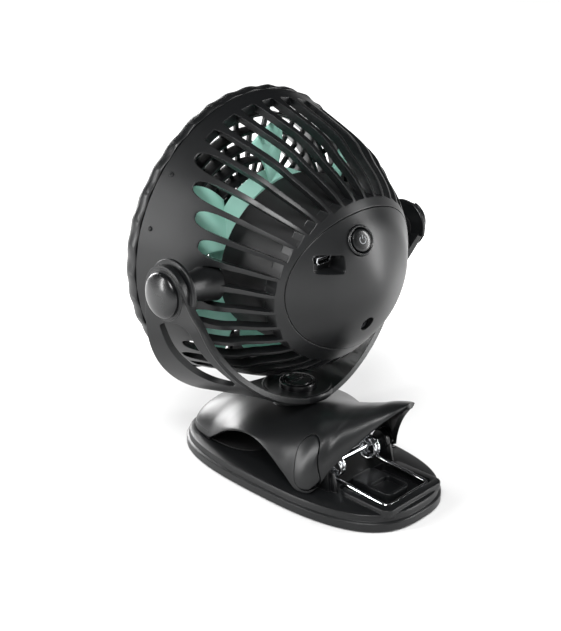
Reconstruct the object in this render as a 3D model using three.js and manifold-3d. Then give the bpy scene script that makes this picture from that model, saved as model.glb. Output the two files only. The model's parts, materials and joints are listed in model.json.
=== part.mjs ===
// A battery clip fan: a round caged fan head that tilts in a forked yoke, which swivels on a spring clip.
// Millimetres, +Z up. The origin is the middle of the clip's underside, air is blown towards -Y,
// and the clip's mouth faces -Y as well. At rest the yoke isn't turned, and the head looks up a little.
import * as THREE from "three";
import { mergeVertices } from "three/addons/utils/BufferGeometryUtils.js";
import Module from "manifold-3d";

const wasm = await Module();
wasm.setup();

// ---------------------------------------------------------------- driving dimensions

const FIT_GAP = 0.3; // between pieces that seat on each other
const SCREW_PLAY = 0.5; // radial, round a screw's or a shaft's shank

// Where the head and the yoke stand
const PIVOT_HEIGHT = 100.6; // tilt axis above the table
const SWIVEL_Y = -7.1; // swivel axis and tilt axis, before the middle of the clip
const HEAD_TILT = 7.1; // degrees that the head looks up at rest

// Head housing, a shape turned about Y: [Y, radius] from the seam with the grille to the rearmost point
const DOME_OUTLINE = [
  [-30.9, 65.9],
  [2, 56.3],
  [14, 49.3],
  [26, 41.3],
  [34, 32.1],
  [41, 21.3],
  [46.4, 0],
];
const [SEAM_Y, SEAM_RADIUS] = DOME_OUTLINE[0];
const [APEX_Y] = DOME_OUTLINE[DOME_OUTLINE.length - 1];
const SHELL_WALL = 2.4;
const DOME_SIDES = 36;

// Air slots through the housing, cut along Y
const SLOT_COUNT = 36;
const SLOT_FRONT_Y = -24;
const SLOT_REACH_X = 57.3; // outer ends, beside the axis
const SLOT_REACH_Z = 64.4; // outer ends, above and below the axis
const SLOT_REACH_POWER = 2.3;
const SLOT_TIP_STEPS = 2;
const RIB_OUTER = 3;
const RIB_INNER = 2;

// Pod behind the fan wheel, an oval well that holds the motor, cell and board
const POD_HALF_WIDTH = 42.4;
const POD_HALF_HEIGHT = 36.9;
const POD_WALL = 1.8;
const POD_FRONT_Y = -6.3;
const MOUNT_THICKNESS = 1.7;

// Rear cap with the button and the charging socket
const CAP_HALF_WIDTH = 38.8;
const CAP_HALF_HEIGHT = 30.3;
const CAP_Z = 2.1;
const CAP_START_Y = 20; // before its frontmost edge
const BUTTON_X = 9.8;
const BUTTON_Z = 22.6;
const BUTTON_LEAN = 28; // degrees that the button leans up, with the dome
const BUTTON_TURN = 12; // degrees that it leans to +X
const BUTTON_RADIUS = 4.6;
const BUTTON_TRAVEL = 0.8;
const BEZEL_RADIUS = 6.2;
const BEZEL_BORE = 5;
const RECESS_X = 24; // charging recess
const RECESS_Z = 14.5;
const RECESS_WIDTH = 11.4;
const RECESS_HEIGHT = 6.8;
const RECESS_FLOOR_Y = 29.5;
const RECESS_WALL = 1.2;
const SOCKET_X = 24.3;
const SOCKET_Z = 15;
const SOCKET_WIDTH = 8.3;
const SOCKET_HEIGHT = 2.9;
const SOCKET_WALL = 0.4;
const CAP_SCREW_X = 2.6;
const CAP_SCREW_Z = -14.7;
const CAP_SCREW_WELL = 3.3; // radius of the hole that the screw sits in
const CAP_SCREW_HEAD = 2.6;
const CAP_SCREW_SHANK = 1.2;

// Electrics inside the pod
const CELL_RADIUS = 9.2;
const CELL_LENGTH = 65;
const CELL_Y = 18;
const CELL_Z = -12;
const CONTACT_THICKNESS = 0.5;
const BOARD_Y = 22;
const BOARD_THICKNESS = 1.6;
const BOARD_MIN_X = -12;
const BOARD_MAX_X = 29;
const BOARD_MIN_Z = -1;
const BOARD_MAX_Z = 23.3;
const MOTOR_RADIUS = 12;
const MOTOR_LENGTH = 12.5;
const SHAFT_RADIUS = 1.2;

// Fan wheel
const BLADE_COUNT = 6;
const BLADE_FRONT_Y = -25;
const BLADE_REAR_Y = -11;
const BLADE_FIRST = 102; // degrees from +X to +Z at the front edge
const BLADE_SWEEP = 32;
const BLADE_TIP = 55.5;
const BLADE_THICKNESS = 2; // along Y
const HUB_RADIUS = 34;
const HUB_WALL = 1.6;
const HUB_BOSS = 4;

// Front grille
const GRILLE_DEPTH = 8; // from the seam to its face
const GRILLE_RIM = 66.6; // middle radius of the scalloped edge
const SCALLOP = 0.9; // height of a scallop either side of it
const GRILLE_BEVEL_IN = 2;
const GRILLE_BEVEL_DEEP = 4;
const GRILLE_RIM_WALL = 4;
const SPIGOT_WALL = 2.8;
const SPIGOT_LENGTH = 3.4; // into the housing
const SPIGOT_NARROWING = 1.6; // with the dome round it
const GRILLE_BAR = 2.2;
const GRILLE_RING_RADII = [40];
const GRILLE_DISC = 20;

// Tilt pivot, outwards along X
const BOSS_RADIUS = 7.5;
const BOSS_ROOT = 52; // inner end, within the housing
const BOSS_REACH = 70;
const FRICTION_WASHER = 0.7;
const FRICTION_WASHER_RADIUS = 6.5;
const PIVOT_DISC_RADIUS = 15.8;
const PIVOT_DISC_THICKNESS = 3.7;
const TRIM_RADII = [11.8, 10]; // stepped ring round the pivot cap
const TRIM_STEP = 0.65;
const PIVOT_CAP_RADIUS = 8.5;
const PIVOT_CAP_HEIGHT = 4.4;
const PIVOT_SCREW_SHANK = 1.6;
const PIVOT_SCREW_HEAD = 3.2;
const SCREW_HEAD_HEIGHT = 1.2;

// Yoke band, from each pivot down to the dish
const BAND_THICKNESS = 2.5;
const BAND_FRONT = { width: 75, drop: 64.5, power: 2.3 };
const BAND_REAR = { width: 67.8, drop: 64.5, power: 1.73 };
const BAND_FRONT_Y = [-13, -17, -19.6, -19.8, -18.6, -17];
const BAND_REAR_Y = [8, 8.4, 10, 12.6, 14.4, 15];
const DISH_RADIUS = 16.5;
const DISH_FLOOR = 2.2;
const DISH_RIM = 3.9; // from the underside to the top of its rim
const DISH_RIM_WALL = 1.6;
const SWIVEL_CAP_RADIUS = 8.5;
const SWIVEL_CAP_HEIGHT = 3.1;
const SWIVEL_CAP_WALL = 1;
const SWIVEL_WASHER = 0.5;
const SWIVEL_WASHER_RADIUS = 6.5;
const SWIVEL_SCREW_SHANK = 2;
const SWIVEL_SCREW_HEAD = 4.2;
const COIN_SLOT = 1.6;
const NECK_RADIUS = 9;

// Clip base
const BASE_HALF_LENGTH = 66.3;
const BASE_HALF_WIDTH = 36.1;
const BASE_POWER = 2.8;
const BASE_HEIGHT = 8.1;
const PAD_Y = -37;
const PAD_HALF_LENGTH = 24;
const PAD_HALF_WIDTH = 24;
const PAD_RECESS = 1.2;
const TRAY_HALF_WIDTH = 19.5;
const TRAY_START = 36;
const TRAY_END = 63;
const TRAY_TOP = 10;
const TRAY_WALL = 3.6;
const TRAY_FLOOR = 4.6;
const ISLAND_HALF_WIDTH = 7.5;
const ISLAND_START = 32;
const ISLAND_END = 54;
const ISLAND_TOP = 9.4;
const POCKET_WALL = 1.4;
const POCKET_START = 42;
const POCKET_DEPTH = 2.2;

// Hinge of the clip
const HINGE_Y = 26.9;
const HINGE_Z = 17.2;
const PIN_RADIUS = 1.5;
const PIN_HALF_LENGTH = 26;
const LUG_INNER = 18.5;
const LUG_THICKNESS = 3;
const LUG_RADIUS = 4.2;
const FIN_THICKNESS = 1.4;
const HINGE_BOSS_INNER = 22.5;
const HINGE_BOSS_RADIUS = 4.2;

// Upper jaw, outlines along Y: [y, value]
const JAW_WALL = 2.4;
const JAW_HALF_WIDTHS = [[-57, 14], [-54.5, 20.5], [-50, 24.5], [-38, 27.8], [-24, 31], [-8, 32], [20, 31.5], [28, 29.6], [32, 25], [38.5, 18], [45.5, 12], [53, 7.2], [56.5, 3]];
const JAW_LOWER_EDGE = [[-57, 11.2], [-38, 11.2], [-30, 16], [-24, 20.2], [-15, 24.4], [-5, 25.2], [3.7, 22.4], [15.5, 13.9], [20.5, 9.7], [24, 8.7], [28, 8.9], [30.5, 12], [34.3, 20.5], [45.5, 37.5], [56.5, 50]];
const JAW_CROWN = [[-57, 15], [-54.5, 20], [-50, 23.5], [-40, 27.4], [-31, 28.4], [-15, 31.3], [0, 33.8], [20, 37.8], [38, 44.3], [47, 48.3], [56.5, 51.2]];
const JAW_STATIONS = [-57, -54, -50, -38, -24, -12, 3.7, 15.5, 20.5, 28, 30.5, 34.3, 42, 56.5];
const JAW_ROUNDNESS = [[-57, 2.2], [-30, 1.8], [-7, 1.45], [10, 1.7], [25, 2], [56.5, 2]];
const NOSE_REAR = -38;
const NOSE_PAD = 2.3;
const COVER_WIDTH = 10;
const COVER_LENGTH = 21.5;
const COVER_Y = 24.6;
const COVER_Z = 20.6;
const COVER_LEAN = 14; // degrees, top towards the mouth
const COVER_THICKNESS = 1;

// Torsion spring: one wire, a loop in the tray, a coil each side, a leg each side under the jaw
const WIRE_RADIUS = 0.85;
const COIL_RADIUS = 4.4;
const COIL_PITCH = 2.2;
const COIL_TURNS = 2;
const LOOP_HALF_WIDTH = 11;
const LOOP_END_Y = 58;
const LOOP_END_Z = 6.4;
const LOOP_CORNER = 2.5;
const LEG_ANGLE = 50; // degrees above the rear, at rest
const LEG_LENGTH = 16;
const WIRE_SIDES = 5;
const COIL_STEPS = 8;

// ---------------------------------------------------------------- finishes

const finish = (color, roughness, metalness = 0) => () =>
  new THREE.MeshStandardMaterial({ color, roughness, metalness });
const blackSatin = finish(0x1c1c1e, 0.42);
const blackMatt = finish(0x151516, 0.7);
const blackRubber = finish(0x101010, 0.9);
const mintPlastic = finish(0xa9d4c6, 0.4);
const brightSteel = finish(0xc9cbce, 0.25, 1);
const darkSteel = finish(0x4a4b4e, 0.4, 1);
const boardGreen = finish(0x1f5c3a, 0.6);
const sleeveBlue = finish(0x2f4f86, 0.5);

// ---------------------------------------------------------------- solids and shapes

const radians = THREE.MathUtils.degToRad;
const vector = (x, y, z) => new THREE.Vector3(x, y, z);

// A closed geometry as a solid whose faces point outwards.
function solid(geometry) {
  const bare = geometry.clone();
  bare.deleteAttribute("normal");
  bare.deleteAttribute("uv");
  const merged = mergeVertices(bare, 1e-4);
  const spots = merged.attributes.position;
  const corners = new Uint32Array(merged.index.array);
  const [a, b, c] = [vector(), vector(), vector()];
  let volume = 0;
  for (let i = 0; i < corners.length; i += 3) {
    a.fromBufferAttribute(spots, corners[i]);
    b.fromBufferAttribute(spots, corners[i + 1]);
    c.fromBufferAttribute(spots, corners[i + 2]);
    volume += a.dot(b.cross(c));
  }
  if (volume < 0) corners.reverse();
  return new wasm.Manifold(
    new wasm.Mesh({ numProp: 3, vertProperties: spots.array, triVerts: corners }),
  );
}

const join = (first, ...others) => others.reduce((sum, next) => sum.add(next), first);
const cut = (first, ...tools) => tools.reduce((rest, tool) => rest.subtract(tool), first);
const mirrored = (body) => body.mirror([1, 0, 0]);
const bothSides = (make) => [make(1), make(-1)];

function piece(name, body, material) {
  const shape = body.getMesh();
  const geometry = new THREE.BufferGeometry();
  geometry.setAttribute("position", new THREE.BufferAttribute(new Float32Array(shape.vertProperties), 3));
  geometry.setIndex(new THREE.BufferAttribute(new Uint32Array(shape.triVerts), 1));
  geometry.computeVertexNormals();
  const mesh = new THREE.Mesh(geometry, material());
  mesh.name = name;
  return mesh;
}

function box(x0, x1, y0, y1, z0, z1) {
  const block = new THREE.BoxGeometry(x1 - x0, y1 - y0, z1 - z0);
  return solid(block.translate((x0 + x1) / 2, (y0 + y1) / 2, (z0 + z1) / 2));
}

// A round bar from one point to another, with another radius at its far end if one is given.
function bar(radius, from, to, sides = 16, farRadius = radius) {
  const along = to.clone().sub(from);
  const round = new THREE.CylinderGeometry(farRadius, radius, along.length(), sides);
  round.applyQuaternion(new THREE.Quaternion().setFromUnitVectors(vector(0, 1, 0), along.clone().normalize()));
  const middle = from.clone().add(to).multiplyScalar(0.5);
  return solid(round.translate(middle.x, middle.y, middle.z));
}

// An outline of [radius, place along the axis] turned about Y, X or Z.
function turned(outline, sides, axis = "Y") {
  const round = new THREE.LatheGeometry(outline.map(([r, h]) => new THREE.Vector2(r, h)), sides);
  if (axis === "X") round.rotateZ(-Math.PI / 2);
  if (axis === "Z") round.rotateX(Math.PI / 2);
  return solid(round);
}

// A flat shape pushed along an axis: (X, Z) along Y, (Y, Z) along X, or (X, Y) along Z.
function pushed(shape, axis, from, to, curveSegments = 12) {
  const block = new THREE.ExtrudeGeometry(shape, { depth: to - from, bevelEnabled: false, curveSegments });
  if (axis === "Y") block.rotateX(Math.PI / 2).translate(0, to, 0);
  if (axis === "X") {
    block.applyMatrix4(new THREE.Matrix4().makeBasis(vector(0, 1, 0), vector(0, 0, 1), vector(1, 0, 0)));
    block.translate(from, 0, 0);
  }
  if (axis === "Z") block.translate(0, 0, from);
  return solid(block);
}

const oval = (halfWidth, halfHeight, x = 0, y = 0) =>
  new THREE.Shape().absellipse(x, y, halfWidth, halfHeight, 0, 2 * Math.PI);

function polygon(...points) {
  return new THREE.Shape(points.map(([x, y]) => new THREE.Vector2(x, y)));
}

function roundedRectangle(x0, x1, y0, y1, radius) {
  const shape = new THREE.Shape();
  shape.moveTo(x0 + radius, y0);
  shape.lineTo(x1 - radius, y0);
  shape.absarc(x1 - radius, y0 + radius, radius, -Math.PI / 2, 0);
  shape.absarc(x1 - radius, y1 - radius, radius, 0, Math.PI / 2);
  shape.absarc(x0 + radius, y1 - radius, radius, Math.PI / 2, Math.PI);
  shape.absarc(x0 + radius, y0 + radius, radius, Math.PI, 1.5 * Math.PI);
  return shape;
}

// Points of a superellipse, [along the first half-axis, along the second].
function superellipse(first, second, power, count, from = 0, to = 2 * Math.PI) {
  const points = [];
  for (let i = 0; i < count; i += 1) {
    const angle = from + ((to - from) * i) / (to - from === 2 * Math.PI ? count : count - 1);
    const c = Math.cos(angle);
    const s = Math.sin(angle);
    points.push([
      first * Math.sign(c) * Math.abs(c) ** (2 / power),
      second * Math.sign(s) * Math.abs(s) ** (2 / power),
    ]);
  }
  return points;
}

// A skin over closed sections with the same number of points each, with both ends closed:
// by a fan, or by a strip where a section is a thin bent one.
function loft(sections, thinEnds = false) {
  const count = sections[0].length;
  const spots = sections.flat().flatMap((p) => [p.x, p.y, p.z]);
  const corners = [];
  for (let i = 0; i + 1 < sections.length; i += 1) {
    for (let j = 0; j < count; j += 1) {
      const [a, b] = [i * count + j, i * count + ((j + 1) % count)];
      corners.push(a, b, b + count, a, b + count, a + count);
    }
  }
  const last = (sections.length - 1) * count;
  const end = (p, q, r) => corners.push(r, q, p, last + p, last + q, last + r);
  for (let j = 1; j + 1 < count; j += 1) {
    if (!thinEnds) end(0, j, j + 1);
  }
  for (let j = 0; thinEnds && j + 1 < count / 2; j += 1) {
    end(j, j + 1, count - 1 - j);
    end(j + 1, count - 2 - j, count - 1 - j);
  }
  const skin = new THREE.BufferGeometry();
  skin.setAttribute("position", new THREE.Float32BufferAttribute(spots, 3));
  skin.setIndex(corners);
  return solid(skin);
}

// The value of an outline [[place, value], ...] at a place, on a smooth curve through its points.
function along(outline, place) {
  const n = outline.length;
  if (place <= outline[0][0]) return outline[0][1];
  if (place >= outline[n - 1][0]) return outline[n - 1][1];
  const i = outline.findIndex(([p]) => p > place) - 1;
  const slope = (k) => {
    const [low, high] = [outline[Math.max(k - 1, 0)], outline[Math.min(k + 1, n - 1)]];
    return (high[1] - low[1]) / (high[0] - low[0]);
  };
  const [[p0, v0], [p1, v1]] = [outline[i], outline[i + 1]];
  const span = p1 - p0;
  const t = (place - p0) / span;
  const [t2, t3] = [t * t, t * t * t];
  return (
    (2 * t3 - 3 * t2 + 1) * v0 + (t3 - 2 * t2 + t) * span * slope(i) +
    (3 * t2 - 2 * t3) * v1 + (t3 - t2) * span * slope(i + 1)
  );
}

// ---------------------------------------------------------------- head

const domePoints = DOME_OUTLINE.map(([y, radius]) => [radius, y]);

// The dome's outline moved inwards, from the seam to the axis.
function domeOutline(inset) {
  return domePoints.map(([radius, y], i) => {
    const before = domePoints[Math.max(i - 1, 0)];
    const after = domePoints[Math.min(i + 1, domePoints.length - 1)];
    if (radius === 0) return [0, y - inset];
    const [dr, dy] = [after[0] - before[0], after[1] - before[1]];
    const length = Math.hypot(dr, dy);
    const moved = [radius - (inset * dy) / length, y + (inset * dr) / length];
    return i === 0 ? [radius - inset, y] : moved;
  });
}

// The whole dome as a block, moved inwards and carried forward past the seam if asked.
function domeBlock(inset, forward = 0) {
  const outline = domeOutline(inset);
  const mouth = [[0, outline[0][1] - forward], [outline[0][0], outline[0][1] - forward]];
  return turned([...mouth, ...(forward ? outline : outline.slice(1))], DOME_SIDES);
}

// How far back the dome's outside lies at a radius.
function domeY(radius) {
  const i = domePoints.findIndex(([r]) => r <= radius);
  const [[r0, y0], [r1, y1]] = [domePoints[Math.max(i - 1, 0)], domePoints[Math.max(i, 1)]];
  return y0 + ((y1 - y0) * (r0 - radius)) / (r0 - r1);
}

const podInnerWidth = POD_HALF_WIDTH - POD_WALL;
const podInnerHeight = POD_HALF_HEIGHT - POD_WALL;

// Distance from the middle of an oval (or superellipse) to its edge in a direction.
function reach(halfWidth, halfHeight, angle, power = 2) {
  const c = Math.abs(Math.cos(angle)) / halfWidth;
  const s = Math.abs(Math.sin(angle)) / halfHeight;
  return (c ** power + s ** power) ** (-1 / power);
}

// One air slot: square at its inner end on the pod's wall, round at its outer end.
function slotShape(angle) {
  const halfPitch = Math.PI / SLOT_COUNT;
  const inner = reach(POD_HALF_WIDTH - POD_WALL / 2, POD_HALF_HEIGHT - POD_WALL / 2, angle);
  const tip = reach(SLOT_REACH_X, SLOT_REACH_Z, angle, SLOT_REACH_POWER);
  const innerHalf = inner * Math.sin(halfPitch) - RIB_INNER / 2;
  const outerHalf = (tip * Math.sin(halfPitch) - RIB_OUTER / 2) / (1 + Math.sin(halfPitch));
  const centre = tip - outerHalf;
  const points = [[inner, innerHalf], [inner, -innerHalf]];
  for (let step = 0; step <= SLOT_TIP_STEPS; step += 1) {
    const turn = -Math.PI / 2 + (Math.PI * step) / SLOT_TIP_STEPS;
    points.push([centre + outerHalf * Math.cos(turn), outerHalf * Math.sin(turn)]);
  }
  const [c, s] = [Math.cos(angle), Math.sin(angle)];
  return polygon(...points.map(([u, v]) => [u * c - v * s, u * s + v * c]));
}

const boardBack = BOARD_Y + BOARD_THICKNESS;
const postStart = CELL_Y + CELL_RADIUS + 0.8; // behind the cell
const screwPostEnd = domeY(Math.hypot(CAP_SCREW_X, CAP_SCREW_Z)) - SHELL_WALL - 2;
const plateScrewX = podInnerWidth - PIVOT_SCREW_HEAD - 1;

function rearHousing() {
  let shell = cut(domeBlock(0), domeBlock(SHELL_WALL, 1));
  const slots = [];
  for (let i = 0; i < SLOT_COUNT; i += 1) slots.push(slotShape((2 * Math.PI * (i + 0.5)) / SLOT_COUNT));
  shell = cut(shell, pushed(slots, "Y", SLOT_FRONT_Y, APEX_Y));
  const podRing = oval(POD_HALF_WIDTH, POD_HALF_HEIGHT);
  podRing.holes.push(oval(podInnerWidth, podInnerHeight));
  const pod = pushed(podRing, "Y", POD_FRONT_Y, APEX_Y, SLOT_COUNT / 2).intersect(domeBlock(SHELL_WALL / 2));
  const capHole = oval(CAP_HALF_WIDTH + FIT_GAP, CAP_HALF_HEIGHT + FIT_GAP, 0, CAP_Z);
  shell = cut(join(shell, pod), pushed(capHole, "Y", CAP_START_Y, APEX_Y + 1, 14));

  // Post for the cap's screw, held by a rib to the bottom of the pod
  const onScrew = (y) => vector(CAP_SCREW_X, y, CAP_SCREW_Z);
  const post = bar(CAP_SCREW_SHANK + 2, onScrew(postStart), onScrew(screwPostEnd), 12);
  const ribFoot = -podInnerHeight - POD_WALL / 2;
  const ribBend = CELL_Z - CELL_RADIUS - 0.8; // below the cell
  const upper = box(CAP_SCREW_X - 1, CAP_SCREW_X + 1, postStart, screwPostEnd - 4, ribBend - 1, CAP_SCREW_Z);
  const lower = box(CAP_SCREW_X - 1, CAP_SCREW_X + 1, CELL_Y, screwPostEnd - 4, ribFoot, ribBend);
  const rib = join(upper, lower).intersect(domeBlock(SHELL_WALL + FIT_GAP));
  const bore = bar(CAP_SCREW_SHANK + SCREW_PLAY, onScrew(postStart - 1), onScrew(APEX_Y), 12);
  shell = cut(join(shell, post, rib), bore);

  // Bosses that take the motor plate's screws, and the tilt pivot's bosses
  const plateBack = POD_FRONT_Y + MOUNT_THICKNESS + FIT_GAP;
  for (const side of [1, -1]) {
    const x = side * plateScrewX;
    const outward = side * (podInnerWidth + POD_WALL / 2);
    const boss = join(
      bar(3, vector(x, plateBack, 0), vector(x, plateBack + 9, 0), 16),
      box(Math.min(x, outward), Math.max(x, outward), plateBack, plateBack + 9, -2, 2),
    );
    const hole = bar(1 + SCREW_PLAY, vector(x, plateBack - 1, 0), vector(x, plateBack + 7, 0), 12);
    const pivot = bar(BOSS_RADIUS + 1.5, vector(side * BOSS_ROOT, 0, 0), vector(side * BOSS_REACH, 0, 0), 24, BOSS_RADIUS);
    const pivotHole = bar(PIVOT_SCREW_SHANK + SCREW_PLAY, vector(side * (BOSS_ROOT + 3), 0, 0), vector(side * (BOSS_REACH + 1), 0, 0), 12);
    shell = cut(join(shell, boss, pivot), hole, pivotHole);
  }
  return shell;
}

// Middle of the button on the dome, and the way it faces
const buttonY = domeY(Math.hypot(BUTTON_X, BUTTON_Z));
const buttonTurn = new THREE.Matrix4()
  .makeRotationZ(radians(-BUTTON_TURN))
  .multiply(new THREE.Matrix4().makeRotationX(radians(BUTTON_LEAN)))
  .setPosition(BUTTON_X, buttonY, BUTTON_Z);

// Puts a shape turned about Y where the button is, along the way it faces.
function atButton(body) {
  return body.transform(buttonTurn.elements);
}

const BEZEL_DEPTH = 3;
const buttonFoot = -5.4; // inner end of the button's stem, along its own axis

function rearCap() {
  const outline = oval(CAP_HALF_WIDTH, CAP_HALF_HEIGHT, 0, CAP_Z);
  const blank = pushed(outline, "Y", CAP_START_Y, APEX_Y + 1, 14);
  let cap = cut(domeBlock(0), domeBlock(SHELL_WALL, 1)).intersect(blank);
  const [halfWidth, halfHeight] = [RECESS_WIDTH / 2, RECESS_HEIGHT / 2];
  const outerBox = box(
    RECESS_X - halfWidth - RECESS_WALL, RECESS_X + halfWidth + RECESS_WALL,
    RECESS_FLOOR_Y - RECESS_WALL, APEX_Y, RECESS_Z - halfHeight - RECESS_WALL, RECESS_Z + halfHeight + RECESS_WALL,
  );
  const recess = pushed(
    roundedRectangle(RECESS_X - halfWidth, RECESS_X + halfWidth, RECESS_Z - halfHeight, RECESS_Z + halfHeight, 1.2),
    "Y", RECESS_FLOOR_Y, APEX_Y + 1, 3,
  );
  const socketHole = pushed(
    socketShape(FIT_GAP), "Y", RECESS_FLOOR_Y - RECESS_WALL - 1, RECESS_FLOOR_Y + 1, 3,
  );
  cap = cut(join(cap, outerBox.intersect(domeBlock(SHELL_WALL / 2))), recess, socketHole);

  const bezelSeat = atButton(turned([[0, -BEZEL_DEPTH], [BEZEL_RADIUS + FIT_GAP, -BEZEL_DEPTH], [BEZEL_RADIUS + FIT_GAP, 4], [0, 4]], 20));
  const buttonWell = atButton(turned([[0, -6], [BEZEL_RADIUS + 1.2, -6], [BEZEL_RADIUS + 1.2, -0.9], [0, -0.9]], 16));
  const buttonHole = atButton(turned([[0, -7], [BUTTON_RADIUS - 1, -7], [BUTTON_RADIUS - 1, 1], [0, 1]], 16));
  const well = buttonWell.intersect(domeBlock(SHELL_WALL / 2));
  cap = cut(join(cap, well), bezelSeat, buttonHole);

  const screwTop = domeY(Math.hypot(CAP_SCREW_X, CAP_SCREW_Z));
  const sleeve = bar(CAP_SCREW_WELL + 1.2, vector(CAP_SCREW_X, screwPostEnd + FIT_GAP, CAP_SCREW_Z), vector(CAP_SCREW_X, screwTop, CAP_SCREW_Z), 14);
  const hole = bar(CAP_SCREW_SHANK + SCREW_PLAY, vector(CAP_SCREW_X, screwPostEnd - 1, CAP_SCREW_Z), vector(CAP_SCREW_X, screwTop, CAP_SCREW_Z), 12);
  const wellHole = bar(CAP_SCREW_WELL, vector(CAP_SCREW_X, screwPostEnd + FIT_GAP + 1.2, CAP_SCREW_Z), vector(CAP_SCREW_X, APEX_Y + 1, CAP_SCREW_Z), 14);
  return cut(join(cap, sleeve.intersect(domeBlock(SHELL_WALL / 2, 1))), hole, wellHole);
}

// Outline of the charging socket's shell, narrower below, grown by a margin.
function socketShape(margin, inset = 0) {
  const w = SOCKET_WIDTH / 2 + margin - inset;
  const h = SOCKET_HEIGHT / 2 + margin - inset;
  return polygon(
    [SOCKET_X - w, SOCKET_Z + h], [SOCKET_X - w, SOCKET_Z - h * 0.2], [SOCKET_X - w * 0.78, SOCKET_Z - h],
    [SOCKET_X + w * 0.78, SOCKET_Z - h], [SOCKET_X + w, SOCKET_Z - h * 0.2], [SOCKET_X + w, SOCKET_Z + h],
  );
}

const socketFront = RECESS_FLOOR_Y + 0.5;

function usbSocket() {
  const shell = pushed(socketShape(0), "Y", boardBack + FIT_GAP, socketFront);
  return cut(shell, pushed(socketShape(0, SOCKET_WALL), "Y", boardBack + FIT_GAP + 1, socketFront + 1));
}

function usbTongue() {
  const half = SOCKET_WIDTH / 2 - SOCKET_WALL - 1;
  return box(SOCKET_X - half, SOCKET_X + half, boardBack + FIT_GAP + 1.3, socketFront - 0.6, SOCKET_Z + 0.15, SOCKET_Z + 0.75);
}

function buttonBezel() {
  return atButton(turned([[BEZEL_BORE, FIT_GAP - BEZEL_DEPTH], [BEZEL_RADIUS, FIT_GAP - BEZEL_DEPTH], [BEZEL_RADIUS, 0], [BEZEL_RADIUS - 0.5, 0.5], [BEZEL_BORE + 0.3, 0.5], [BEZEL_BORE, 0.2], [BEZEL_BORE, FIT_GAP - BEZEL_DEPTH]], 20));
}

function powerButton() {
  const stem = BUTTON_RADIUS - 1 - FIT_GAP;
  const cap = -1.4; // underside of the button's cap
  return atButton(turned([[0, buttonFoot], [stem, buttonFoot], [stem, cap], [BUTTON_RADIUS, cap], [BUTTON_RADIUS, 0.4], [BUTTON_RADIUS * 0.8, 0.85], [0, 1.1]], 20));
}

// Switch on the board behind the button, its nub short of the button's stem by the travel and a little more.
function tactSwitch() {
  const foot = vector(0, buttonFoot, 0).applyMatrix4(buttonTurn);
  const nubEnd = foot.y - BUTTON_TRAVEL - 0.9;
  const body = box(foot.x - 3, foot.x + 3, boardBack + FIT_GAP, nubEnd - 3, foot.z - 3, foot.z + 3);
  return join(body, bar(1.6, vector(foot.x, nubEnd - 3.2, foot.z), vector(foot.x, nubEnd, foot.z), 16));
}

function capScrew() {
  const seat = screwPostEnd + FIT_GAP + 1.2 + FIT_GAP;
  const start = vector(CAP_SCREW_X, postStart + 1, CAP_SCREW_Z);
  const under = vector(CAP_SCREW_X, seat, CAP_SCREW_Z);
  const top = vector(CAP_SCREW_X, seat + SCREW_HEAD_HEIGHT, CAP_SCREW_Z);
  const head = cut(bar(CAP_SCREW_HEAD, under, top, 16), crossRecess(top));
  return join(bar(CAP_SCREW_SHANK, start, top.clone().setY(seat + 0.2), 12), head);
}

// The cross in the head of a screw that faces +Y: two small boxes that reach into it.
function crossRecess(top) {
  const reachIn = 0.6;
  const arm = 1.5;
  const slot = 0.35;
  const boxes = [[arm, slot], [slot, arm]].map(([u, v]) => {
    return box(-u, u, -reachIn, 1, -v, v);
  });
  return join(...boxes).translate([top.x, top.y, top.z]);
}

function motorMount() {
  const plate = oval(podInnerWidth - FIT_GAP, podInnerHeight - FIT_GAP);
  const hole = (x, z, radius) => plate.holes.push(oval(radius, radius, x, z));
  hole(0, 0, SHAFT_RADIUS + SCREW_PLAY + 1.5);
  for (const side of [1, -1]) {
    hole(side * plateScrewX, 0, 1 + SCREW_PLAY);
    hole(0, (side * MOTOR_RADIUS) / 1.5, 1 + SCREW_PLAY);
  }
  return pushed(plate, "Y", POD_FRONT_Y, POD_FRONT_Y + MOUNT_THICKNESS, 6);
}

const motorFront = POD_FRONT_Y + MOUNT_THICKNESS + FIT_GAP;
const motorBack = motorFront + MOTOR_LENGTH;

function motorCan() {
  const bore = SHAFT_RADIUS + SCREW_PLAY;
  const can = turned([[0, motorFront], [MOTOR_RADIUS, motorFront], [MOTOR_RADIUS, motorBack - 1], [MOTOR_RADIUS - 1, motorBack], [0, motorBack]], 20);
  const holes = [1, -1].map((side) => {
    const z = (side * MOTOR_RADIUS) / 1.5;
    return bar(1 + SCREW_PLAY, vector(0, motorFront - 1, z), vector(0, motorFront + 4, z), 12);
  });
  return cut(can, bar(bore, vector(0, motorFront - 1, 0), vector(0, motorBack - 3, 0), 16), ...holes);
}

// A pan-head screw through the motor plate from the front.
function plateScrew(x, z) {
  const seat = POD_FRONT_Y - FIT_GAP;
  const top = vector(x, seat - 1, z);
  return join(bar(1, vector(x, seat - 0.2, z), vector(x, seat + 5.2, z), 12), bar(2.2, vector(x, seat, z), top, 16));
}

function motorShaft() {
  return bar(SHAFT_RADIUS, vector(0, motorBack - 4, 0), vector(0, BLADE_FRONT_Y + 3, 0), 16);
}

const CELL_STEP = 1; // positive button of the cell

function batteryCell() {
  const half = CELL_LENGTH / 2;
  const outline = [[0, -half], [CELL_RADIUS - 0.8, -half], [CELL_RADIUS, 0.8 - half], [CELL_RADIUS, half - CELL_STEP - 0.8], [CELL_RADIUS - 0.8, half - CELL_STEP], [3, half - CELL_STEP], [3, half], [0, half]];
  return turned(outline, 20, "X").translate([0, CELL_Y, CELL_Z]);
}

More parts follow.
